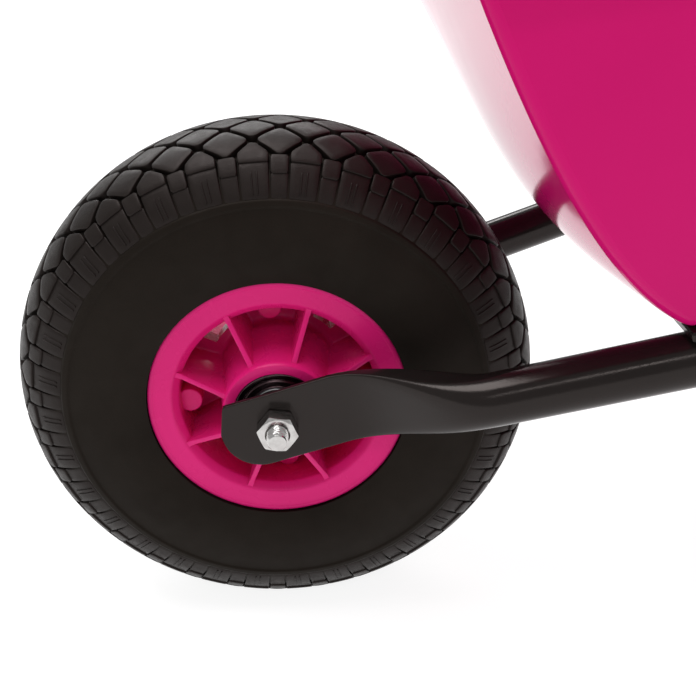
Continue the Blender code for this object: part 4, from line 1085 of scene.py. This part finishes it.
@dataclass
class FrameTube:
    """One of the two long tubes, pressed flat at the wheel and bent at the handle."""

    side: Side
    slope: float = math.radians(16.9)
    splay: float = math.radians(8.65)
    radius: float = 12.0 * MM
    drop: float = 2.9 * MM
    offset: float = 70.5 * MM
    plate_middle: float = 57.6 * MM
    plate_half: float = 18.0 * MM
    plate_thick: float = 3.2 * MM
    plate_shift: float = 1.0 * MM
    plate_front: float = -26.0 * MM
    nose: float = 18.0 * MM
    plate_end: float = 28.0 * MM
    round_start: float = 100.0 * MM
    bend_start: float = 600.0 * MM
    bend_length: float = 50.0 * MM
    end: float = 790.0 * MM
    dip: float = math.radians(8)

    @property
    def axes(self) -> Axes:
        """The frame's axes: x up along the tubes' plane, z square to it."""
        c, s = math.cos(self.slope), math.sin(self.slope)
        return Axes((AXLE[0], 0.0, AXLE[2] - self.drop), (c, 0.0, s), (0.0, 1.0, 0.0), (-s, 0.0, c))

    def centre(self, along: Array) -> Array:
        """Middle line of the tube, in the frame's axes.

        It is straight and splayed, comes in to the wheel at the pressed end, and past the bend it is
        parallel to the middle plane and dips.
        """
        along = np.atleast_1d(np.asarray(along, float))
        past = np.clip(along - self.bend_start, 0.0, self.bend_length)
        beyond = np.maximum(along - self.bend_start - self.bend_length, 0.0)
        turn = past ** 2 / (2 * self.bend_length)
        across = self.offset + math.tan(self.splay) * (np.minimum(along, self.bend_start) + past - turn)
        up = -math.tan(self.dip) * (turn + beyond)
        blend = smooth_step(self.plate_end, self.round_start, along)
        level = self.drop * math.cos(self.slope) - self.plate_shift
        return np.stack((along, self.side.value * ((1 - blend) * self.plate_middle + blend * across),
                         (1 - blend) * level + blend * up), axis=-1)

    def build(self) -> None:
        """Make the tube, from the nose of its plate to the handle's end."""
        nose = self.plate_front + self.nose * (1 - np.cos(np.linspace(0, math.pi / 2, 18)))
        along = np.concatenate((nose, np.linspace(-7.0, 27.0, 10) * MM, np.linspace(28.0, 110.0, 56) * MM,
                                np.linspace(120.0, 590.0, 24) * MM, np.linspace(598.0, 652.0, 16) * MM,
                                np.linspace(665.0, 789.0, 8) * MM))
        past = along - self.plate_front
        high = np.minimum(self.plate_half, past * 2.5 + 4.5 * MM)
        inside = np.maximum(self.nose - past, 0.0)
        low = -self.plate_half + self.nose - np.sqrt(self.nose ** 2 - inside ** 2)
        roundness = smooth_step(self.plate_end, self.round_start, along)
        sections = pressed_section(roundness, low, high, self.plate_thick / 2, self.radius, 64)
        shell = Shell()
        shell.add(self.axes.at(sweep(self.centre(along), sections)))
        word = self.side.word
        finish_piece(shell.mesh(f"frame_tube_{word}_pressed"), BLACK_PAINT, Body.FRAME,
                     [f"frame_tube_{word}"], 60.0)
        self.grip()

    def grip(self) -> None:
        """Make the ribbed grip: plain ends, a collar, and rounded ribs between."""
        end, before = self.centre(np.array([self.end, self.end - 10 * MM]))
        axes = Axes.along(self.axes.at(end), self.axes.at(end) - self.axes.at(before))
        bore, outer, top, low = 12.3, 16.3, 5.9, -109.0
        ribs = np.linspace(top - 7.0, low + 8.0, 150)
        wave = np.abs(np.sin(math.pi * (ribs - ribs[0]) / 6.3)) ** 0.5
        head = rounded([(0.0, top, 0.0), (outer, top, 3.4), (outer, top - 7.0, 0.0)], 8)[:16]
        body = np.stack((outer - 0.9 * (1 - wave), ribs), axis=-1) * MM
        tail = rounded([(outer, low + 6.5, 0.4), (outer + 3.0, low + 4.4, 1.2), (outer + 3.0, low, 1.0),
                        (bore, low, 0.3), (bore, 0.3, 0.0), (0.0, 0.3, 0.0)], 5)
        shell = Shell()
        lathe(shell, np.concatenate((head, body, tail)), axes, 64, ring=False)
        word = self.side.word
        finish_piece(shell.mesh(f"grip_{word}_ribbed"), GRIP_RUBBER, Body.FRAME, [f"grip_{word}"], 50.0)


@dataclass
class Leg:
    """A leg with its foot, brace and bolts, on axes turned to lie along its tube."""

    side: Side
    tube: FrameTube
    position: float = 470.0 * MM
    brace_position: float = 315.0 * MM
    radius: float = 10.5 * MM
    tab_half: float = 16.0 * MM
    tab_thick: float = 3.2 * MM
    gap: float = 0.3 * MM

    def __post_init__(self) -> None:
        """Work out the leg's own axes: x along the tube seen from above, y across, z up."""
        heading = math.atan(math.tan(self.tube.splay) / math.cos(self.tube.slope)) * self.side.value
        start = self.tube.axes.at(self.tube.centre(self.position))[0]
        c, s = math.cos(heading), math.sin(heading)
        self.axes = Axes(tuple(start), (c, s, 0.0), (-s, c, 0.0), (0.0, 0.0, 1.0))
        self.height = float(start[2])
        self.middle = self.side.value * (self.tube.radius + self.gap + self.tab_thick / 2)

    def build(self) -> None:
        """Make the leg and everything on it."""
        self.post()
        self.foot()
        self.brace()
        self.bolts()

    def post(self) -> None:
        """Make the leg: a tab with rounded corners at its top, swelling into a round tube."""
        corner = 7.0 * MM
        t = np.linspace(0, math.pi / 2, 10)
        top = 16.0 * MM - corner * (1 - np.sin(t))
        half = self.tab_half - corner + corner * np.cos(t)
        height = np.concatenate((top[::-1], np.linspace(8.0, -23.0, 5) * MM, np.linspace(-24.0, -66.0, 28) * MM,
                                 np.linspace(-80 * MM, 5.3 * MM - self.height, 12)))
        wide = np.concatenate((half[::-1], np.full(len(height) - len(half), self.tab_half)))
        roundness = smooth_step(-24.0 * MM, -64.0 * MM, height)
        sections = pressed_section(roundness, -wide, wide, self.tab_thick / 2, self.radius, 48)
        rings = np.stack((sections[..., 0], self.middle + sections[..., 1],
                          np.broadcast_to(height[:, None], sections.shape[:2])), axis=-1)
        ends = [np.repeat(rings[k].mean(axis=0)[None, None], rings.shape[1], axis=1) for k in (0, -1)]
        shell = Shell()
        shell.add(self.axes.at(np.concatenate((ends[0], rings, ends[1]))))
        word = self.side.word
        finish_piece(shell.mesh(f"leg_{word}_tube"), BLACK_PAINT, Body.FRAME, [f"leg_{word}"], 60.0)

    def foot(self) -> None:
        """Make the rubber foot, with two rings round it."""
        inner, outer, tall = 10.8, 14.8, 32.0
        profile = rounded([(0.0, 5.0, 0.0), (inner, 5.0, 0.0), (inner, tall, 0.8), (outer, tall, 1.3),
                           (outer, 24.0, 0.3), (outer - 0.8, 23.2, 0.3), (outer - 0.8, 22.0, 0.3),
                           (outer, 21.2, 0.3), (outer + 0.3, 17.0, 0.3), (outer - 0.5, 16.2, 0.3),
                           (outer - 0.5, 15.0, 0.3), (outer + 0.3, 14.2, 0.3), (outer + 1.0, 2.2, 1.6),
                           (outer - 1.0, 0.0, 0.8), (0.0, 0.0, 0.0)], 5)
        shell = Shell()
        lathe(shell, profile, self.axes.moved((0.0, self.middle, -self.height)), 64, ring=False)
        word = self.side.word
        finish_piece(shell.mesh(f"foot_{word}_moulded"), GRIP_RUBBER, Body.FRAME, [f"foot_{word}"], 50.0)

    def brace_ends(self) -> tuple[Array, Array]:
        """Upper and lower middle points of the brace, in the leg's axes with y left at 0."""
        upper = self.tube.axes.at(self.tube.centre(self.brace_position))[0] - np.asarray(self.axes.origin)
        return (np.array([-math.hypot(upper[0], upper[1]), 0.0, upper[2]]),
                np.array([0.0, 0.0, 85.0 * MM - self.height]))

    def brace(self) -> None:
        """Make the brace: a flat strip with rounded ends that steps out from the tube to the leg."""
        top, bottom = self.brace_ends()
        length, way = np.linalg.norm(bottom - top), (bottom - top) / np.linalg.norm(bottom - top)
        thick = 3.0 * MM
        near = self.tube.radius + self.gap + thick / 2
        far = abs(self.middle) + self.radius + self.gap + thick / 2
        round_end = 9.0 * MM * np.sin(np.linspace(0, math.pi / 2, 8))
        place = np.concatenate((-round_end[::-1], np.linspace(0.02, 0.98, 56) * length, length + round_end))
        half = np.full(len(place), 9.0 * MM)
        half[:8] = np.sqrt(np.maximum((9.0 * MM) ** 2 - round_end[::-1] ** 2, (0.6 * MM) ** 2))
        half[-8:] = half[:8][::-1]
        across = near + (far - near) * smooth_step(0.55 * length, 0.85 * length, place)
        line = top + way * place[:, None] + np.array([0.0, self.side.value, 0.0]) * across[:, None]
        sections = pressed_section(np.zeros(len(place)), -half, half, thick / 2, thick / 2, 28)
        shell = Shell()
        square = np.array([way[2], 0.0, -way[0]])
        rings = line[:, None] + square * sections[..., :1] + np.array([0.0, 1.0, 0.0]) * sections[..., 1:]
        ends = [np.repeat(rings[k].mean(axis=0)[None, None], rings.shape[1], axis=1) for k in (0, -1)]
        shell.add(self.axes.at(np.concatenate((ends[0], rings, ends[1]))))
        word = self.side.word
        finish_piece(shell.mesh(f"brace_{word}_strip"), BLACK_PAINT, Body.FRAME, [f"brace_{word}"], 60.0)

    def bolts(self) -> None:
        """Make the bolts and nuts that hold the leg and the brace to the tube."""
        word, out = self.side.word, float(self.side.value)
        level = np.array(self.axes.y) * out
        upper, _ = self.brace_ends()
        wall = self.tube.radius + self.gap
        for label, place, thread, flats, thick in (
                ("leg", np.zeros(3), LEG_THREAD, 12.8, self.tab_thick),
                ("brace", upper, SMALL_THREAD, 9.6, 3.0 * MM)):
            head = wall + thick + self.gap
            length = (head + wall) / MM + thread.radius * 1.6 + 2.0
            seat = self.axes.at(place + np.array([0.0, out * head, 0.0]))
            Fastener(thread, flats, thread.radius * 1.3, 72).bolt(
                f"{label}_bolt_{word}_hex", f"{label}_bolt_{word}", Axes.along(seat, level), Body.FRAME,
                length, length * 0.4)
            seat = self.axes.at(place - np.array([0.0, out * wall, 0.0]))
            Fastener(thread, flats, thread.radius * 1.6, 72).nut(
                f"{label}_nut_{word}_hex", f"{label}_nut_{word}", Axes.along(seat, -level), Body.FRAME)


def make_leg_tie() -> None:
    """Make the round tie between the legs, as long and as thick as its CAD node, with a weld at each end."""
    low, high = (np.asarray(corner, float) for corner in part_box("leg_tie"))
    middle = (low + high) / 2
    radius = (high[2] - low[2]) / 2
    along = np.linspace(low[1], high[1], 12)
    centres = np.stack((np.full(12, middle[0]), along, np.full(12, middle[2])), axis=-1)
    shell = Shell()
    shell.add(sweep(centres, circle_sections(np.full(12, radius))))
    for side in Side:
        end = middle + np.array([0.0, side.value * (high[1] - low[1]) / 2, 0.0])
        weld_ring(shell, Axes.along(end, (0.0, float(side.value), 0.0)), radius, 2.4 * MM)
    finish_piece(shell.mesh("leg_tie_welded"), BLACK_PAINT, Body.FRAME, ["leg_tie"], 60.0)


def weld_ring(shell: Shell, axes: Axes, radius: float, size: float) -> None:
    """Add a weld bead round a tube: a ring whose section swells and shrinks 26 times in a turn."""
    angle = around(208)
    section = np.linspace(0, TAU, 12, endpoint=False)[:, None]
    bead = size * (0.8 + 0.2 * np.abs(np.sin(13 * angle)))
    ring = polar(radius + bead * np.cos(section) * 0.8, np.broadcast_to(angle, (12, 208)),
                 -0.4 * size + bead * np.sin(section))
    shell.add(axes.at(ring), wrap_rows=True)


# ---------------------------------------------------------------- tray


@dataclass
class Tray:
    """Moulded tray: curved front, floor and back in one strip, flat flared sides, and a turned-down lip."""

    tube: FrameTube
    wall: float = 3.0 * MM
    floor: float = 17.0 * MM
    floor_half: float = 104.5 * MM
    flare: float = math.radians(16.4)
    taper: float = math.radians(5.0)
    toe: float = 181.6 * MM
    knee: tuple[float, float] = (141.4 * MM, 59.0 * MM)
    front: tuple[float, float] = (119.6 * MM, 194.5 * MM)
    floor_end: float = 555.0 * MM
    heel: float = 25.0 * MM
    heel_rise: float = 0.7
    back: tuple[float, float] = (635.0 * MM, 105.0 * MM)
    crown: float = 10.0 * MM
    lip: float = 13.9 * MM
    lip_drop: float = 8.0 * MM
    edge: float = 5.0 * MM

    @staticmethod
    def curve(start: Sequence[float], control: Sequence[float], end: Sequence[float], count: int) -> Array:
        """Points (1-t)^2 A + 2t(1-t) B + t^2 C of the curve from A to C drawn to B."""
        t = np.linspace(0, 1, count)[:, None]
        a, b, c = (np.asarray(point, float) for point in (start, control, end))
        return (1 - t) ** 2 * a + 2 * t * (1 - t) * b + t ** 2 * c

    def profile(self) -> tuple[Array, Array]:
        """Profile (along, up) from the front rim under the floor to the back rim, and its outward crown."""
        count = 27
        front = self.curve(self.front, self.knee, (self.toe, self.floor), count)
        t = np.linspace(0, 1, count)
        slope = (self.back[1] - self.floor) / (self.back[0] - self.floor_end)
        heel = self.curve((self.floor_end - self.heel, self.floor), (self.floor_end, self.floor),
                          (self.floor_end + self.heel * self.heel_rise,
                           self.floor + self.heel * self.heel_rise * slope), 11)
        middle = np.stack((np.linspace(self.toe, self.floor_end - self.heel, 8)[1:-1],
                           np.full(6, self.floor)), axis=-1)
        up = np.linspace(heel[-1], self.back, 5)[1:]
        line = np.concatenate((front, middle, heel, up))
        crown = np.zeros(len(line))
        crown[:count] = self.crown * 6.75 * t * t * (1 - t)
        return line, crown

    def strip(self) -> Array:
        """Outer surface of the strip, (stations, places across, 3), in the frame's axes."""
        line, crown = self.profile()
        run = np.gradient(line, axis=0)
        run /= np.linalg.norm(run, axis=1, keepdims=True)
        half = (self.floor_half + (line[:, 1] - self.floor) * math.tan(self.flare)
                + (line[:, 0] - self.toe) * math.tan(self.taper))
        v = np.linspace(-1, 1, 17)[None, :]
        push = crown[:, None] * (1 - v * v)
        return np.stack((line[:, :1] + push * run[:, 1:], half[:, None] * v, line[:, 1:] - push * run[:, :1]),
                        axis=-1)

    def build(self) -> None:
        """Make the tray as one sheet, and give it its wall with modifiers."""
        grid = self.strip()
        rows, columns = grid.shape[:2]
        index = np.arange(rows * columns).reshape(rows, columns)
        cells = np.stack((index[:-1, :-1], index[1:, :-1], index[1:, 1:], index[:-1, 1:]), axis=-1)
        faces = cells.reshape(-1, 4).tolist()
        faces += [index[:, 0].tolist(), index[::-1, -1].tolist()]
        points = [grid.reshape(-1, 3)]
        rim = np.concatenate((index[0], index[-1, ::-1]))
        edge = np.concatenate((grid[0], grid[-1, ::-1]))
        way = np.zeros_like(edge)
        way[:columns, 0], way[columns:, 0] = -1.0, 1.0
        for corner in (0, columns - 1, columns, 2 * columns - 1):
            way[corner, 1] = np.sign(edge[corner, 1])
        count, before = rows * columns, rim
        for down in (0.0, self.lip_drop):
            ring = edge + way * self.lip
            ring[:, 2] -= down
            points.append(ring)
            after = count + np.arange(len(rim))
            count += len(rim)
            strip = np.stack((before, np.roll(before, -1), np.roll(after, -1), after), axis=-1)
            faces += strip.tolist()
            before = after
        mesh = bpy.data.meshes.new("tray_moulded")
        mesh.from_pydata(self.tube.axes.at(np.concatenate(points)), [], faces)
        self.point_down(mesh, index[rows // 2 + 4, columns // 2])
        piece = finish_piece(mesh, TRAY_PLASTIC, Body.FRAME, ["tray"], 60.0)
        self.thicken(piece)

    @staticmethod
    def point_down(mesh: bpy.types.Mesh, vertex: int) -> None:
        """Turn the sheet so that a vertex of its floor faces down, and the rest follow."""
        bm = bmesh.new()
        bm.from_mesh(mesh)
        bmesh.ops.recalc_face_normals(bm, faces=bm.faces[:])
        bm.verts.ensure_lookup_table()
        bm.verts[vertex].normal_update()
        if bm.verts[vertex].normal.z > 0:
            bmesh.ops.reverse_faces(bm, faces=bm.faces[:])
        bm.to_mesh(mesh)
        bm.free()

    def thicken(self, piece: bpy.types.Object) -> None:
        """Round the sheet's corners, give it its wall and round the wall's edges."""
        corners = piece.modifiers.new("corners", "BEVEL")
        corners.width = self.edge
        corners.segments = 5
        corners.limit_method = "ANGLE"
        corners.angle_limit = math.radians(40)
        wall = piece.modifiers.new("wall", "SOLIDIFY")
        wall.thickness = self.wall
        wall.offset = -1.0
        wall.use_even_offset = True
        edges = piece.modifiers.new("edges", "BEVEL")
        edges.width = 0.8 * MM
        edges.segments = 2
        edges.limit_method = "ANGLE"
        edges.angle_limit = math.radians(60)
        edges.harden_normals = True

    def bolts(self) -> None:
        """Make the round-headed bolts through the floor, and their nuts under the rails."""
        number = 0
        for along in (197.0 * MM, 520.0 * MM):
            for side in Side:
                number += 1
                place = self.tube.axes.moved((along, side.value * 68.0 * MM, 0.0))
                seat = (self.floor + self.wall) / MM + 0.3
                profile = rounded([(0.0, seat + 3.6, 0.0), (8.0, seat + 3.5, 4.6), (8.0, seat, 0.3),
                                   (3.0, seat, 0.0), (3.0, 5.4, 0.6), (0.0, 5.4, 0.0)], 7)
                shell = Shell()
                lathe(shell, profile, place, 48, ring=False)
                finish_piece(shell.mesh(f"tray_bolt_{number}_domed"), ZINC, Body.FRAME,
                             [f"tray_bolt_{number}"])
                under = Axes.along(place.at(np.array([0.0, 0.0, 12.0 * MM])), -np.asarray(place.z))
                Fastener(SMALL_THREAD, 9.6, 4.8, 72).nut(f"tray_nut_{number}_hex", f"tray_nut_{number}",
                                                         under, Body.FRAME)


# ---------------------------------------------------------------- wheel hardware


def make_rim_screws() -> None:
    """Make the four screws in the right half of the rim."""
    rim = Rim(Side.RIGHT)
    for k in range(4):
        angle = rim.screw_angle + k * TAU / 4
        place = wheel_axes(Side.RIGHT).at(np.array([rim.boss_circle * math.cos(angle),
                                                    rim.boss_circle * math.sin(angle),
                                                    (rim.boss_height + 0.3) * MM]))
        Fastener(SCREW_THREAD, 8.0, 3.25, 72).bolt(f"rim_screw_{k + 1}_hex", f"rim_screw_{k + 1}",
                                                   Axes.along(place, (0, 1, 0)), Body.WHEEL, 32.3, 20.0)


def dress_kept_nodes() -> None:
    """Finish the CAD nodes that keep their shape."""
    dress(("cross_rail_front", "cross_rail_rear"), BLACK_PAINT)
    dress(("axle_sleeve",), ZINC)
    dress(("ball_cage_left", "ball_cage_right"), CAGE_BRASS)
    dress(("inner_tube",), TUBE_RUBBER)
    dress(("valve_cap",), CAP_PLASTIC)


# ---------------------------------------------------------------- studio


@dataclass
class Studio:
    """Glowing white table, soft light and the camera."""

    floor_size: float = 60.0
    camera_place: tuple[float, float, float] = (-0.30785, -0.44576, 0.35877)
    camera_pitch: float = math.radians(-26.035)
    camera_yaw: float = math.radians(2.987)
    lens: float = 49.44
    sky: float = 0.48
    table_glow: float = 0.86

    def build(self) -> None:
        """Make the whole studio."""
        self.floor()
        self.world()
        sun = bpy.data.lights.new("even_light", "SUN")
        sun = bpy.data.lights.new("even_light", "SUN")
        sun.energy = 2.4
        sun.angle = math.radians(40)
        self.aim(sun, (-0.9, 0.1, 2.8))
        back = bpy.data.lights.new("back_light", "AREA")
        back.shape = "RECTANGLE"
        back.size, back.size_y = 1.8, 0.5
        back.energy = 16.0
        self.aim(back, (-0.7, 1.7, 1.25))
        front = bpy.data.lights.new("front_strip", "AREA")
        front.shape = "RECTANGLE"
        front.size, front.size_y = 1.2, 0.16
        front.energy = 3.5
        self.aim(front, (-0.4, -1.5, 1.45))
        self.camera()
        bpy.context.scene.view_settings.view_transform = "Standard"

    def floor(self) -> None:
        """Make the floor, with a faint change of tone over it."""
        half = self.floor_size / 2
        mesh = bpy.data.meshes.new("studio_floor")
        mesh.from_pydata([(-half, -half, 0), (half, -half, 0), (half, half, 0), (-half, half, 0)], [],
                         [(0, 1, 2, 3)])
        floor = bpy.data.objects.new("studio_floor", mesh)
        bpy.context.scene.collection.objects.link(floor)
        material = bpy.data.materials.new("pale_floor")
        material.use_nodes = True
        nodes = Nodes(material.node_tree)
        shader = material.node_tree.nodes["Principled BSDF"]
        place = nodes.add("TexCoord").outputs["Object"]
        tone = nodes.group(GROUPS["mottle"], {"Vector": place, "Scale": 3.0})
        mix = nodes.add("Mix", {"Factor": tone.outputs["Value"]}, data_type="RGBA")
        mix.inputs["A"].default_value = (0.27, 0.27, 0.27, 1.0)
        mix.inputs["B"].default_value = (0.29, 0.29, 0.29, 1.0)
        nodes.tree.links.new(mix.outputs[2], shader.inputs["Base Color"])
        shader.inputs["Emission Color"].default_value = (1.0, 1.0, 1.0, 1.0)
        shader.inputs["Emission Strength"].default_value = self.table_glow
        shader.inputs["Roughness"].default_value = 0.9
        shader.inputs["Specular IOR Level"].default_value = 0.1
        mesh.materials.append(material)

    def world(self) -> None:
        """Light everything evenly from a pale surrounding."""
        world = bpy.data.worlds.new("studio")
        world.use_nodes = True
        back = world.node_tree.nodes["Background"]
        back.inputs["Color"].default_value = (1.0, 1.0, 1.0, 1.0)
        back.inputs["Strength"].default_value = self.sky
        bpy.context.scene.world = world

    @staticmethod
    def aim(light: bpy.types.Light, place: Sequence[float]) -> None:
        """Stand a light somewhere, facing the wheel."""
        lamp = bpy.data.objects.new(light.name, light)
        axes = Axes.along(place, np.asarray(place, float) - AXLE)
        turn = Matrix((axes.x, axes.y, axes.z)).transposed()
        lamp.matrix_world = Matrix.Translation(axes.origin) @ turn.to_4x4()
        bpy.context.scene.collection.objects.link(lamp)

    def camera(self) -> None:
        """Stand the camera to the left of the wheel, a little above it."""
        data = bpy.data.cameras.new("camera")
        data.lens = self.lens
        data.sensor_width = 36.0
        data.clip_start = 0.01
        camera = bpy.data.objects.new("camera", data)
        camera.location = self.camera_place
        camera.rotation_euler = (math.pi / 2 + self.camera_pitch, 0.0, -self.camera_yaw)
        bpy.context.scene.collection.objects.link(camera)
        bpy.context.scene.camera = camera


def main() -> None:
    """Build the studio and every sub-assembly in order."""
    logging.basicConfig(level=logging.INFO, format="%(name)s: %(message)s")
    GROUPS.update(mottle=make_mottle(), grain=make_grain(), dust=make_dust(), worn_edges=make_worn_edges())
    Studio().build()
    Tyre().build()
    for side in Side:
        Rim(side).build()
        Bearing(side).build()
    make_rim_screws()
    AxleSet().build()
    for side in Side:
        tube = FrameTube(side)
        tube.build()
        Leg(side, tube).build()
    make_leg_tie()
    tray = Tray(FrameTube(Side.LEFT))
    tray.build()
    tray.bolts()
    dress_kept_nodes()


if __name__ == "__main__":
    main()
